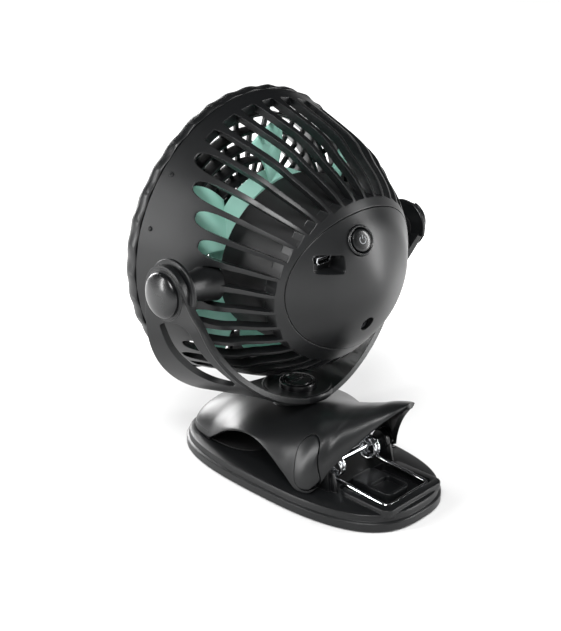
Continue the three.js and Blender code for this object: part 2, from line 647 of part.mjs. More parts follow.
function cellContact(side) {
  const inner = CELL_LENGTH / 2 + FIT_GAP;
  const plate = roundedRectangle(CELL_Y - 5, CELL_Y + 5, CELL_Z - 6, CELL_Z + 6, 2);
  const [from, to] = [side * inner, side * (inner + CONTACT_THICKNESS)];
  return pushed(plate, "X", Math.min(from, to), Math.max(from, to), 3);
}

function circuitBoard() {
  return pushed(roundedRectangle(BOARD_MIN_X, BOARD_MAX_X, BOARD_MIN_Z, BOARD_MAX_Z, 1.5), "Y", BOARD_Y, boardBack, 3);
}

function impeller() {
  const front = BLADE_FRONT_Y - 1.5;
  const outline = [
    [0, front], [HUB_RADIUS * 0.6, front + 1], [HUB_RADIUS * 0.9, front + 4.2], [HUB_RADIUS, front + 8.5], [HUB_RADIUS, BLADE_REAR_Y],
    [HUB_RADIUS - HUB_WALL, BLADE_REAR_Y], [HUB_RADIUS - HUB_WALL, front + 9], [HUB_RADIUS * 0.87, front + 5.4], [HUB_RADIUS * 0.58, front + 2.6], [0, front + HUB_WALL],
  ];
  let wheel = turned(outline, 20);
  wheel = join(wheel, bar(HUB_BOSS, vector(0, front + 1, 0), vector(0, BLADE_REAR_Y - 1, 0), 20));
  for (let i = 0; i < BLADE_COUNT; i += 1) wheel = join(wheel, blade(BLADE_FIRST - (360 * i) / BLADE_COUNT));
  return cut(wheel, bar(SHAFT_RADIUS + FIT_GAP, vector(0, BLADE_FRONT_Y + 2.6, 0), vector(0, 0, 0), 16));
}

// A twisted blade: its sections are thin arcs about Y, swept round from the front edge to the rear one.
function blade(frontAngle) {
  const stations = 3;
  const steps = 4;
  const sections = [];
  for (let i = 0; i <= stations; i += 1) {
    const radius = THREE.MathUtils.lerp(HUB_RADIUS - HUB_WALL / 2, BLADE_TIP, i / stations);
    const [ahead, behind] = [[], []];
    const narrowing = i === stations ? 0.12 : 0;
    for (let j = 0; j <= steps; j += 1) {
      const share = narrowing + ((1 - 2 * narrowing) * j) / steps;
      const angle = radians(frontAngle - BLADE_SWEEP * share);
      const y = THREE.MathUtils.lerp(BLADE_FRONT_Y, BLADE_REAR_Y, share);
      const half = (BLADE_THICKNESS / 2) * (j === 0 || j === steps ? 0.4 : 1);
      ahead.push(vector(radius * Math.cos(angle), y - half, radius * Math.sin(angle)));
      behind.unshift(vector(radius * Math.cos(angle), y + half, radius * Math.sin(angle)));
    }
    sections.push([...ahead, ...behind]);
  }
  return loft(sections, true);
}

// The scalloped rim's outline about the axis at a place along it, with a valley straight below.
function scallopedSection(y, inset) {
  const points = [];
  const steps = 2 * SLOT_COUNT;
  for (let i = 0; i < steps; i += 1) {
    const angle = (2 * Math.PI * i) / steps;
    const radius = GRILLE_RIM - inset - SCALLOP * Math.cos(SLOT_COUNT * angle);
    points.push(vector(radius * Math.cos(angle), y, radius * Math.sin(angle)));
  }
  return points;
}

const grilleInner = GRILLE_RIM - SCALLOP - GRILLE_RIM_WALL;

// Rows of windows between the bars and rings of the grille.
function grilleWindows() {
  const half = GRILLE_BAR / 2;
  const edges = [GRILLE_DISC - half, ...GRILLE_RING_RADII, grilleInner + half];
  const windows = [];
  for (let i = 0; i < SLOT_COUNT; i += 1) {
    const angle = (2 * Math.PI * (i + 0.5)) / SLOT_COUNT;
    const [c, s] = [Math.cos(angle), Math.sin(angle)];
    for (let row = 0; row + 1 < edges.length; row += 1) {
      const [near, far] = [edges[row] + half, edges[row + 1] - half];
      const wide = (radius) => radius * Math.sin(Math.PI / SLOT_COUNT) - half;
      const corners = [[near, wide(near)], [far, wide(far)], [far, -wide(far)], [near, -wide(near)]];
      windows.push(polygon(...corners.map(([u, v]) => [u * c - v * s, u * s + v * c])));
    }
  }
  return windows;
}

function frontGrille() {
  const back = SEAM_Y - FIT_GAP;
  const face = SEAM_Y - GRILLE_DEPTH;
  const bodied = loft([
    scallopedSection(face, GRILLE_BEVEL_IN),
    scallopedSection(face + GRILLE_BEVEL_DEEP, 0),
    scallopedSection(back, 0),
  ]);
  const bowl = turned([[0, face + GRILLE_BAR], [grilleInner, face + GRILLE_BAR], [grilleInner, back + 1], [0, back + 1]], SLOT_COUNT);
  const windows = pushed(grilleWindows(), "Y", face - 1, face + GRILLE_BAR + 1);
  const spigotOuter = SEAM_RADIUS - SHELL_WALL - FIT_GAP;
  const spigotInner = spigotOuter - SPIGOT_WALL;
  const spigot = turned([
    [spigotInner, back - 3], [spigotOuter, back - 3], [spigotOuter, back],
    [spigotOuter - SPIGOT_NARROWING, back + SPIGOT_LENGTH], [spigotInner, back + SPIGOT_LENGTH], [spigotInner, back - 3],
  ], SLOT_COUNT);
  return join(cut(bodied, bowl, windows), spigot);
}

// ---------------------------------------------------------------- tilt pivot

const washerStart = BOSS_REACH + FIT_GAP;
const discStart = washerStart + FRICTION_WASHER + FIT_GAP;
const discEnd = discStart + PIVOT_DISC_THICKNESS;
const trimStart = discEnd + FIT_GAP;
const trimEnd = trimStart + TRIM_RADII.length * TRIM_STEP;
const pivotCapStart = trimEnd + FIT_GAP;

function frictionWasher(side) {
  const bore = PIVOT_SCREW_SHANK + SCREW_PLAY;
  const end = washerStart + FRICTION_WASHER;
  return turned([[bore, side * washerStart], [FRICTION_WASHER_RADIUS, side * washerStart], [FRICTION_WASHER_RADIUS, side * end], [bore, side * end], [bore, side * washerStart]], 16, "X");
}

function pivotTrim(side) {
  const bore = PIVOT_SCREW_SHANK + SCREW_PLAY;
  const outline = [[bore, side * trimStart]];
  TRIM_RADII.forEach((radius, i) => {
    outline.push([radius, side * (trimStart + i * TRIM_STEP)], [radius, side * (trimStart + (i + 1) * TRIM_STEP)]);
  });
  outline.push([bore, side * trimEnd], [bore, side * trimStart]);
  return turned(outline, 16, "X");
}

// A hollow domed cap over the pivot's screw.
function pivotCap(side) {
  const wall = 1.2;
  const rings = 3;
  const outer = [];
  const inner = [];
  for (let i = 0; i <= rings; i += 1) {
    const turn = (Math.PI / 2) * (i / rings);
    outer.push([PIVOT_CAP_RADIUS * Math.cos(turn), side * (pivotCapStart + PIVOT_CAP_HEIGHT * Math.sin(turn))]);
    inner.unshift([(PIVOT_CAP_RADIUS - wall) * Math.cos(turn), side * (pivotCapStart + (PIVOT_CAP_HEIGHT - wall) * Math.sin(turn))]);
  }
  outer[rings][0] = 0;
  inner[0][0] = 0;
  return turned([...outer, ...inner, outer[0]], 16, "X");
}

function pivotScrew(side) {
  const inner = BOSS_ROOT + 4;
  const seat = pivotCapStart;
  const top = vector(side * (seat + SCREW_HEAD_HEIGHT), 0, 0);
  const head = bar(PIVOT_SCREW_HEAD, vector(side * seat, 0, 0), top, 16);
  return join(bar(PIVOT_SCREW_SHANK, vector(side * inner, 0, 0), vector(side * (seat + 0.2), 0, 0), 12), head);
}

// ---------------------------------------------------------------- yoke (its origin is the head's)

const dishUnder = -BAND_FRONT.drop;
const dishFloor = dishUnder + DISH_FLOOR;

// A point of the band's outer edge line: angle 0 at the pivot, 90 degrees under the head.
function bandEdge({ width, drop, power }, angle, inset) {
  const [c, s] = [Math.abs(Math.cos(angle)), Math.abs(Math.sin(angle))];
  return [Math.sign(Math.cos(angle)) * (width - inset) * c ** (2 / power), -(drop - inset) * s ** (2 / power)];
}

function bandY(places, angle) {
  const share = 1 - Math.abs(angle / (Math.PI / 2) - 1);
  return along(places.map((y, i) => [i / (places.length - 1), y]), share);
}

// One cross-section of the band: outer and inner edge points, front and rear, with eased corners.
function bandSection(angle) {
  const [frontY, rearY] = [bandY(BAND_FRONT_Y, angle), bandY(BAND_REAR_Y, angle)];
  const ease = 0.7;
  const corner = (share, inset) => {
    const [fx, fz] = bandEdge(BAND_FRONT, angle, inset);
    const [rx, rz] = bandEdge(BAND_REAR, angle, inset);
    const lerp = THREE.MathUtils.lerp;
    return vector(lerp(fx, rx, share), lerp(frontY, rearY, share), lerp(fz, rz, share));
  };
  const slip = ease / (rearY - frontY);
  return [
    corner(slip, 0), corner(1 - slip, 0), corner(1, ease), corner(1, BAND_THICKNESS - ease),
    corner(1 - slip, BAND_THICKNESS), corner(slip, BAND_THICKNESS), corner(0, BAND_THICKNESS - ease), corner(0, ease),
  ];
}

// Teardrop opening of one side, cut slanting down and outwards: [y, band angle in degrees] of its edge.
const OPENING_EDGE = [[-8, 9], [-2, 8], [3.5, 9], [6, 15], [7, 24], [7, 33], [6, 42], [3.5, 50], [0.5, 56], [-4, 56.5], [-7.5, 51], [-9, 43], [-9.2, 32], [-8.6, 20]];
const OPENING_SLANT = 32; // degrees below level

function openingTool(side) {
  const slant = radians(OPENING_SLANT);
  const outline = OPENING_EDGE.map(([y, degrees]) => {
    const angle = radians(degrees);
    const share = (y - bandY(BAND_FRONT_Y, angle)) / (bandY(BAND_REAR_Y, angle) - bandY(BAND_FRONT_Y, angle));
    const [fx, fz] = bandEdge(BAND_FRONT, angle, 0);
    const [rx, rz] = bandEdge(BAND_REAR, angle, 0);
    const x = THREE.MathUtils.lerp(fx, rx, share);
    const z = THREE.MathUtils.lerp(fz, rz, share);
    return new THREE.Vector2(y, x * Math.sin(slant) + z * Math.cos(slant));
  });
  const shape = new THREE.Shape();
  shape.setFromPoints(new THREE.SplineCurve([...outline, outline[0]]).getPoints(16).slice(0, -1));
  const tool = pushed(shape, "X", BAND_FRONT.width * 0.45, BAND_FRONT.width * 1.6).rotate([0, OPENING_SLANT, 0]);
  return side > 0 ? tool : mirrored(tool);
}

function yoke() {
  const sections = [];
  const steps = 18;
  const first = radians(6);
  for (let i = 0; i <= steps; i += 1) sections.push(bandSection(first + ((Math.PI - 2 * first) * i) / steps));
  let body = cut(loft(sections), openingTool(1), openingTool(-1));
  for (const side of [1, -1]) {
    body = join(body, pivotDisc(side));
    body = cut(body, bar(PIVOT_SCREW_SHANK + SCREW_PLAY, vector(side * (discStart - 6), 0, 0), vector(side * (discEnd + 1), 0, 0), 12));
    body = cut(body, bar(BOSS_RADIUS + 1.4, vector(side * (discStart - 9), 0, 0), vector(side * discStart, 0, 0), 20));
  }
  const under = [[0, dishUnder], [DISH_RADIUS - 1.2, dishUnder], [DISH_RADIUS, dishUnder + 1.4]];
  const rimTop = dishUnder + DISH_RIM;
  const rim = [[DISH_RADIUS, rimTop - 0.5], [DISH_RADIUS - 0.5, rimTop], [DISH_RADIUS - DISH_RIM_WALL, rimTop], [DISH_RADIUS - DISH_RIM_WALL - 1, dishFloor]];
  const hollow = turned([[0, dishFloor], [DISH_RADIUS - DISH_RIM_WALL - 1, dishFloor], [DISH_RADIUS - DISH_RIM_WALL, rimTop], [DISH_RADIUS - DISH_RIM_WALL, rimTop + 4], [0, rimTop + 4]], 20, "Z");
  body = cut(join(body, turned([...under, ...rim, [0, dishFloor]], 20, "Z")), hollow);
  const swivelHole = bar(SWIVEL_SCREW_SHANK + SCREW_PLAY, vector(0, 0, dishUnder - 1), vector(0, 0, dishFloor + 1), 20);
  return cut(body, swivelHole);
}

function pivotDisc(side) {
  const edge = 0.7;
  const outline = [
    [0, side * discStart], [PIVOT_DISC_RADIUS - edge, side * discStart], [PIVOT_DISC_RADIUS, side * (discStart + edge)],
    [PIVOT_DISC_RADIUS, side * (discEnd - edge)], [PIVOT_DISC_RADIUS - edge, side * discEnd], [0, side * discEnd],
  ];
  return turned(outline, 24, "X");
}

const swivelWasherStart = dishFloor + FIT_GAP;
const swivelHeadStart = swivelWasherStart + SWIVEL_WASHER + FIT_GAP;

function swivelWasher() {
  const bore = SWIVEL_SCREW_SHANK + SCREW_PLAY;
  const end = swivelWasherStart + SWIVEL_WASHER;
  return turned([[bore, swivelWasherStart], [SWIVEL_WASHER_RADIUS, swivelWasherStart], [SWIVEL_WASHER_RADIUS, end], [bore, end], [bore, swivelWasherStart]], 16, "Z");
}

// A cup turned over the swivel's screw, with a coin slot across its top.
function swivelCap() {
  const start = dishFloor + FIT_GAP;
  const end = start + SWIVEL_CAP_HEIGHT;
  const inner = SWIVEL_CAP_RADIUS - SWIVEL_CAP_WALL;
  const roof = end - SWIVEL_CAP_WALL - 0.3;
  const cup = turned([[inner, start], [SWIVEL_CAP_RADIUS, start], [SWIVEL_CAP_RADIUS, end - 0.6], [SWIVEL_CAP_RADIUS - 0.6, end], [0, end], [0, roof], [inner, roof], [inner, start]], 20, "Z");
  const slot = box(-SWIVEL_CAP_RADIUS + 2, SWIVEL_CAP_RADIUS - 2, -COIN_SLOT / 2, COIN_SLOT / 2, end - 0.6, end + 1);
  return cut(cup, slot);
}

// ---------------------------------------------------------------- clip (its frame is the part's)

// The base's outline at a height, drawn in by an inset.
function baseSection(z, inset) {
  return superellipse(BASE_HALF_WIDTH - inset, BASE_HALF_LENGTH - inset, BASE_POWER, 32).map(([x, y]) => vector(x, y, z));
}

function basePlate() {
  const rim = [[0, 1.1], [0.8, 0], [4.4, 0], [4.9, 1], [6.9, 1.2], [BASE_HEIGHT - 0.3, 1.9], [BASE_HEIGHT, 2.9]];
  let plate = loft(rim.map(([z, inset]) => baseSection(z, inset)));
  const recess = padShape(FIT_GAP, BASE_HEIGHT - PAD_RECESS - FIT_GAP, BASE_HEIGHT + 1);
  const tray = pushed(roundedRectangle(-TRAY_HALF_WIDTH, TRAY_HALF_WIDTH, TRAY_START, TRAY_END, 4), "Z", BASE_HEIGHT - 2, TRAY_TOP, 2);
  const inside = TRAY_HALF_WIDTH - TRAY_WALL;
  const channel = pushed(roundedRectangle(-inside, inside, ISLAND_START, TRAY_END - TRAY_WALL, 2.5), "Z", TRAY_FLOOR, TRAY_TOP + 1, 2);
  plate = cut(join(cut(plate, recess), tray), channel);
  const island = roundedRectangle(-ISLAND_HALF_WIDTH, ISLAND_HALF_WIDTH, ISLAND_START, ISLAND_END, 3);
  plate = join(plate, pushed(island, "Z", TRAY_FLOOR - 1, ISLAND_TOP, 2));
  const pocketHalf = ISLAND_HALF_WIDTH - POCKET_WALL;
  const pocket = roundedRectangle(-pocketHalf, pocketHalf, POCKET_START, ISLAND_END - POCKET_WALL, 2);
  plate = cut(plate, pushed(pocket, "Z", ISLAND_TOP - POCKET_DEPTH, ISLAND_TOP + 1, 2));
  return join(plate, ...bothSides(hingeLug));
}

// A lug that carries the hinge pin, with a pointed fin behind it.
function hingeLug(side) {
  const low = BASE_HEIGHT - 1;
  const [inner, outer] = [LUG_INNER, LUG_INNER + LUG_THICKNESS];
  const foot = polygon([HINGE_Y - 7, low], [HINGE_Y + 5.5, low], [HINGE_Y + LUG_RADIUS, HINGE_Z], [HINGE_Y - LUG_RADIUS, HINGE_Z]);
  const eye = bar(LUG_RADIUS, vector(inner, HINGE_Y, HINGE_Z), vector(outer, HINGE_Y, HINGE_Z), 16);
  const hole = bar(PIN_RADIUS + FIT_GAP, vector(inner - 1, HINGE_Y, HINGE_Z), vector(outer + 1, HINGE_Y, HINGE_Z), 12);
  const fin = polygon([HINGE_Y + 3, low], [HINGE_Y + 8.8, low], [HINGE_Y + 6, HINGE_Z - 0.6], [HINGE_Y + 5.2, HINGE_Z - 0.6], [HINGE_Y + 4.4, HINGE_Z - 5]);
  const lug = cut(join(pushed(foot, "X", inner, outer), eye, pushed(fin, "X", inner + 0.1, inner + 0.1 + FIN_THICKNESS)), hole);
  return side > 0 ? lug : mirrored(lug);
}

function padShape(margin, z0, z1) {
  const outline = superellipse(PAD_HALF_WIDTH + margin, PAD_HALF_LENGTH + margin, 3, 28);
  return pushed(polygon(...outline.map(([x, y]) => [x, y + PAD_Y])), "Z", z0, z1);
}

const padTop = BASE_HEIGHT + 0.2;

function hingePin() {
  return bar(PIN_RADIUS, vector(-PIN_HALF_LENGTH, HINGE_Y, HINGE_Z), vector(PIN_HALF_LENGTH, HINGE_Y, HINGE_Z), 16);
}

const JAW_FRONT = JAW_HALF_WIDTHS[0][0];
const JAW_REAR = JAW_HALF_WIDTHS[JAW_HALF_WIDTHS.length - 1][0];

// The jaw's arch at a station, drawn in by an inset and closed along a flat bottom.
function archSection(y, inset, bottom) {
  const halfWidth = along(JAW_HALF_WIDTHS, y) - inset;
  const low = along(JAW_LOWER_EDGE, y);
  const high = along(JAW_CROWN, y) - inset;
  const arch = superellipse(halfWidth, high - low, along(JAW_ROUNDNESS, y), 10, 0, Math.PI);
  return [vector(halfWidth, y, bottom), ...arch.map(([x, z]) => vector(x, y, low + z)), vector(-halfWidth, y, bottom)];
}

function jawBlock(inset) {
  return loft(JAW_STATIONS.map((y) => archSection(y, inset, along(JAW_LOWER_EDGE, y) - (inset ? 8 : 0.02))));
}

// The hollow under the jaw: closed below in the nose, open behind it.
function jawHollow() {
  const start = JAW_FRONT + 4;
  const end = JAW_REAR + 1;
  const inner = JAW_STATIONS.filter((y) => y > start && y !== NOSE_REAR && y < JAW_REAR);
  const stations = [start, ...inner, NOSE_REAR + 0.5, NOSE_REAR + 1.5, JAW_REAR - 1.5, end].sort((a, b) => a - b);
  return loft(stations.map((y) => {
    const floor = y < NOSE_REAR + 1 ? JAW_WALL : -8;
    const section = archSection(Math.min(y, JAW_REAR - 1.5), JAW_WALL, along(JAW_LOWER_EDGE, y) + floor);
    const lift = y < NOSE_REAR + 1 ? along(JAW_LOWER_EDGE, y) + JAW_WALL : -Infinity;
    return section.map((p) => vector(p.x, y, Math.max(p.z, lift)));
  }));
}

function coverShape(margin) {
  const half = COVER_WIDTH / 2 + margin;
  const straight = (COVER_LENGTH - COVER_WIDTH) / 2;
  const shape = new THREE.Shape();
  const lean = radians(COVER_LEAN);
  const spot = (u, v) => [COVER_Y + u * Math.cos(lean) - v * Math.sin(lean), COVER_Z + u * Math.sin(lean) + v * Math.cos(lean)];
  const [topY, topZ] = spot(0, straight);
  const [lowY, lowZ] = spot(0, -straight);
  shape.absarc(topY, topZ, half, lean, lean + Math.PI);
  shape.absarc(lowY, lowZ, half, lean + Math.PI, lean + 2 * Math.PI);
  return shape;
}

function coverTool(side, margin) {
  const inner = HINGE_BOSS_INNER + 1;
  const tool = pushed(coverShape(margin), "X", inner, inner + 12, 8);
  return side > 0 ? tool : mirrored(tool);
}

function hingeCover(side) {
  return cut(jawBlock(0), jawBlock(COVER_THICKNESS)).intersect(coverTool(side, 0));
}

function topJaw() {
  let jaw = cut(jawBlock(0), jawHollow());
  const neckTop = PIVOT_HEIGHT + dishUnder - FIT_GAP;
  const crown = along(JAW_CROWN, SWIVEL_Y);
  const neck = turned([[0, crown - JAW_WALL - 6], [5, crown - JAW_WALL - 6], [5, crown - 2], [NECK_RADIUS + 1.5, crown - 1.4], [NECK_RADIUS, crown + 0.6], [NECK_RADIUS, neckTop - 0.4], [NECK_RADIUS - 0.4, neckTop], [0, neckTop]], 20, "Z");
  const pilot = bar(SWIVEL_SCREW_SHANK + SCREW_PLAY, vector(0, SWIVEL_Y, crown - JAW_WALL - 5), vector(0, SWIVEL_Y, neckTop + 1), 16);
  jaw = cut(join(jaw, neck.translate([0, SWIVEL_Y, 0])), pilot);
  const underCover = jawBlock(COVER_THICKNESS + FIT_GAP);
  const outside = cut(bar(30, vector(-60, HINGE_Y, HINGE_Z), vector(60, HINGE_Y, HINGE_Z), 12), jawBlock(JAW_WALL / 2));
  for (const side of [1, -1]) {
    const boss = bar(HINGE_BOSS_RADIUS, vector(side * HINGE_BOSS_INNER, HINGE_Y, HINGE_Z), vector(side * 34, HINGE_Y, HINGE_Z), 16);
    const hole = bar(PIN_RADIUS + FIT_GAP, vector(side * (HINGE_BOSS_INNER - 1), HINGE_Y, HINGE_Z), vector(side * (PIN_HALF_LENGTH + FIT_GAP), HINGE_Y, HINGE_Z), 12);
    jaw = cut(join(jaw, cut(boss, outside)), cut(coverTool(side, FIT_GAP), underCover), hole);
  }
  return jaw;
}

function nosePad() {
  const [front, rear] = [JAW_FRONT + 1.2, NOSE_REAR - 1];
  const top = JAW_LOWER_EDGE[0][1] - FIT_GAP - 0.02;
  const halfWidths = [];
  const steps = 10;
  for (let i = 0; i <= steps; i += 1) {
    const y = THREE.MathUtils.lerp(front, rear, i / steps);
    halfWidths.push([along(JAW_HALF_WIDTHS, y) - 1.4, y]);
  }
  const left = halfWidths.map(([x, y]) => [-x, y]).reverse();
  return pushed(polygon(...halfWidths, ...left), "Z", top - NOSE_PAD, top);
}

// ---------------------------------------------------------------- torsion spring

// Middle line of the wire's right half, from the leg's end under the jaw to the middle of the loop.
function wireLine() {
  const centreZ = HINGE_Z + PIN_RADIUS + FIT_GAP + WIRE_RADIUS - COIL_RADIUS;
  const onCoil = (angle, x) => vector(x, HINGE_Y + COIL_RADIUS * Math.cos(angle), centreZ + COIL_RADIUS * Math.sin(angle));
  const legAngle = radians(LEG_ANGLE) + Math.PI / 2;
  // the loop's side leaves the coil along its tangent, towards the loop's far end
  const away = Math.atan2(centreZ - LOOP_END_Z, LOOP_END_Y - HINGE_Y);
  const chord = Math.hypot(centreZ - LOOP_END_Z, LOOP_END_Y - HINGE_Y);
  const loopAngle = 1.5 * Math.PI - away + Math.asin(COIL_RADIUS / chord);
  const turn = loopAngle - legAngle + 2 * Math.PI * COIL_TURNS;
  const xAt = (share) => LOOP_HALF_WIDTH + COIL_PITCH * (turn / (2 * Math.PI)) * share;
  const legStart = onCoil(legAngle, xAt(1));
  const legWay = vector(0, Math.cos(radians(LEG_ANGLE)), Math.sin(radians(LEG_ANGLE)));
  const points = [legStart.clone().addScaledVector(legWay, LEG_LENGTH)];
  points.push(legStart.clone().addScaledVector(legWay, LEG_LENGTH - 2 * WIRE_RADIUS));
  const steps = Math.round((turn / (2 * Math.PI)) * COIL_STEPS);
  for (let i = 0; i <= steps; i += 1) points.push(onCoil(legAngle + (turn * i) / steps, xAt(1 - i / steps)));
  const tail = points[points.length - 1];
  const corner = vector(LOOP_HALF_WIDTH, LOOP_END_Y, LOOP_END_Z);
  const slope = tail.clone().sub(corner).normalize();
  points.push(corner.clone().addScaledVector(slope, LOOP_CORNER));
  points.push(corner.clone().addScaledVector(slope, LOOP_CORNER * 0.3).add(vector(-LOOP_CORNER * 0.3, 0, 0)));
  points.push(corner.clone().add(vector(-LOOP_CORNER, 0, 0)));
  return points;
}

// A tube about a line of points, carried along it without twisting.
function wire(points) {
  const sections = [];
  let side = vector(1, 0, 0);
  points.forEach((point, i) => {
    const before = points[Math.max(i - 1, 0)];
    const after = points[Math.min(i + 1, points.length - 1)];
    const ahead = after.clone().sub(point).normalize();
    const back = point.clone().sub(before).normalize();
    const way = ahead.clone().add(back).normalize();
    side = side.clone().addScaledVector(way, -side.dot(way)).normalize();
    const other = way.clone().cross(side);
    const ring = [];
    for (let k = 0; k < WIRE_SIDES; k += 1) {
      const turn = (2 * Math.PI * k) / WIRE_SIDES;
      ring.push(point.clone().addScaledVector(side, WIRE_RADIUS * Math.cos(turn)).addScaledVector(other, WIRE_RADIUS * Math.sin(turn)));
    }
    sections.push(ring);
  });
  return sections;
}

// Least gap between stretches of the wire that are over three wire diameters apart along it.
function leastGap(points) {
  const fine = [];
  for (let i = 0; i + 1 < points.length; i += 1) {
    const length = points[i].distanceTo(points[i + 1]);
    const parts = Math.ceil(length / WIRE_RADIUS);
    for (let k = 0; k < parts; k += 1) fine.push(points[i].clone().lerp(points[i + 1], k / parts));
  }
  let run = 0;
  const runs = fine.map((point, i) => (run += i ? point.distanceTo(fine[i - 1]) : 0));
  let least = Infinity;
  fine.forEach((point, i) => {
    for (let j = i + 1; j < fine.length; j += 1) {
      if (runs[j] - runs[i] < 6 * WIRE_RADIUS) continue;
      least = Math.min(least, point.distanceTo(fine[j]) - 2 * WIRE_RADIUS);
    }
  });
  return least;
}

function torsionSpring() {
  const right = wireLine();
  const left = right.map((p) => vector(-p.x, p.y, p.z)).reverse();
  const line = [...right, ...left];
  console.log("least gap of the spring's wire to itself: " + leastGap(line).toFixed(2) + " mm");
  return loft(wire(line));
}

// ---------------------------------------------------------------- assembly

const base = new THREE.Group();
base.add(
  piece("base_plate", basePlate(), blackSatin),
  piece("base_pad", padShape(0, BASE_HEIGHT - PAD_RECESS, padTop), blackRubber),
  piece("hinge_pin", hingePin(), brightSteel),
  piece("torsion_spring", torsionSpring(), brightSteel),
);

const jaw = new THREE.Group();
jaw.add(
  piece("top_jaw", topJaw(), blackSatin),
  piece("nose_pad", nosePad(), blackRubber),
  piece("hinge_cover_left", hingeCover(1), blackSatin),
  piece("hinge_cover_right", hingeCover(-1), blackSatin),
);

const head = new THREE.Group();
head.position.set(0, SWIVEL_Y, PIVOT_HEIGHT);
head.rotation.x = radians(-HEAD_TILT);

const swivelScrewTop = vector(0, 0, swivelHeadStart + SCREW_HEAD_HEIGHT - 0.2);
const swivelScrew = join(
  bar(SWIVEL_SCREW_SHANK, vector(0, 0, dishUnder - 7), vector(0, 0, swivelHeadStart + 0.2), 16),
  bar(SWIVEL_SCREW_HEAD, vector(0, 0, swivelHeadStart), swivelScrewTop, 16),
);
const yokeParts = new THREE.Group();
yokeParts.position.copy(head.position);
yokeParts.add(
  piece("yoke", yoke(), blackSatin),
  piece("swivel_cap", swivelCap(), blackSatin),
  piece("swivel_washer", swivelWasher(), brightSteel),
  piece("swivel_screw", swivelScrew, darkSteel),
);

for (const [name, side] of [["left", 1], ["right", -1]]) {
  yokeParts.add(
    piece("pivot_trim_" + name, pivotTrim(side), blackSatin),
    piece("pivot_cap_" + name, pivotCap(side), blackSatin),
  );
  head.add(
    piece("friction_washer_" + name, frictionWasher(side), blackMatt),
    piece("pivot_screw_" + name, pivotScrew(side), darkSteel),
    piece("cell_contact_" + name, cellContact(side), brightSteel),
    piece("plate_screw_" + name, plateScrew(side * plateScrewX, 0), darkSteel),
  );
}
head.add(
  piece("rear_housing", rearHousing(), blackSatin),
  piece("front_grille", frontGrille(), blackSatin),
  piece("rear_cap", rearCap(), blackSatin),
  piece("button_bezel", buttonBezel(), blackSatin),
  piece("power_button", powerButton(), blackSatin),
  piece("tact_switch", tactSwitch(), blackMatt),
  piece("usb_socket", usbSocket(), brightSteel),
  piece("usb_tongue", usbTongue(), blackMatt),
  piece("cap_screw", capScrew(), darkSteel),
  piece("circuit_board", circuitBoard(), boardGreen),
  piece("battery_cell", batteryCell(), sleeveBlue),
  piece("motor_mount", motorMount(), blackMatt),
  piece("motor_can", motorCan(), darkSteel),
  piece("motor_screw_upper", plateScrew(0, MOTOR_RADIUS / 1.5), darkSteel),
  piece("motor_screw_lower", plateScrew(0, -MOTOR_RADIUS / 1.5), darkSteel),
  piece("motor_shaft", motorShaft(), brightSteel),
  piece("impeller", impeller(), mintPlastic),
);

const clipFan = new THREE.Group();
clipFan.add(base, jaw, yokeParts, head);

export default clipFan;
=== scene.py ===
"""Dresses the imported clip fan: a caged fan head in a tilting yoke on a spring clip.

Sizes are millimetres in the shapes and metres in the scene. Head pieces are shaped about the tilt
pivot with the fan's axis along Y, and then looked up by the head's rest tilt.
"""

import json
import math

import bmesh
import bpy
from bpy.props import FloatProperty, IntProperty, PointerProperty, StringProperty
from mathutils import Matrix, Vector


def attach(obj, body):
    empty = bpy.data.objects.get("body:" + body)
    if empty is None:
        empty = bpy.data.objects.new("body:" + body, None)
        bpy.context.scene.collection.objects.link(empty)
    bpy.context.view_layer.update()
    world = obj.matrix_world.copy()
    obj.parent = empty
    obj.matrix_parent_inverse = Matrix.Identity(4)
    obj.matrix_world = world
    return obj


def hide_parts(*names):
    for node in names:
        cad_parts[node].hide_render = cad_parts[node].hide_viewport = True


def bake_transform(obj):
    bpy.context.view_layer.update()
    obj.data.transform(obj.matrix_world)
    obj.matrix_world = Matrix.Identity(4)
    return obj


bl_info = {
    "name": "Clip fan",
    "version": (1, 0, 0),
    "blender": (4, 5, 0),
    "location": "View3D > Sidebar > Clip fan",
    "description": "Builds the visible pieces of a clip-on fan over its packed solids",
    "category": "Object",
}

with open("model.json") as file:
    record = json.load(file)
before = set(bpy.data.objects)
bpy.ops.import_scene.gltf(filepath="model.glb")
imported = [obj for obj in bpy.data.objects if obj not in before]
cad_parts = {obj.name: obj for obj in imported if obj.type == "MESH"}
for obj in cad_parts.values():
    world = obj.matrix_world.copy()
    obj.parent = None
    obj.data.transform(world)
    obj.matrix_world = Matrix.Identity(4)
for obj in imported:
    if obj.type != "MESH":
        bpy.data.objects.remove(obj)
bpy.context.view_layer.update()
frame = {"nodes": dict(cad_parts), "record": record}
MM = 0.001
JOINTS = {joint["name"]: joint for joint in frame["record"]["behaviour"]["joints"]}

# ------------------------------------------------------------------ where things are

PIVOT = Vector(JOINTS["head_tilt"]["pos_m"]) / MM
HINGE = Vector(JOINTS["clip_hinge"]["pos_m"]) / MM
WIND_AXIS = Vector(JOINTS["impeller_spin"]["axis"])
LOOK_UP = math.atan2(WIND_AXIS.z, WIND_AXIS.y)
AT_PIVOT = Matrix.Translation(PIVOT)
AT_HEAD = AT_PIVOT @ Matrix.Rotation(LOOK_UP, 4, "X")
HALF_TURN = math.pi
FULL_TURN = 2 * math.pi
SHARP_ANGLE = math.radians(35)
SIDES = (("left", 1), ("right", -1))

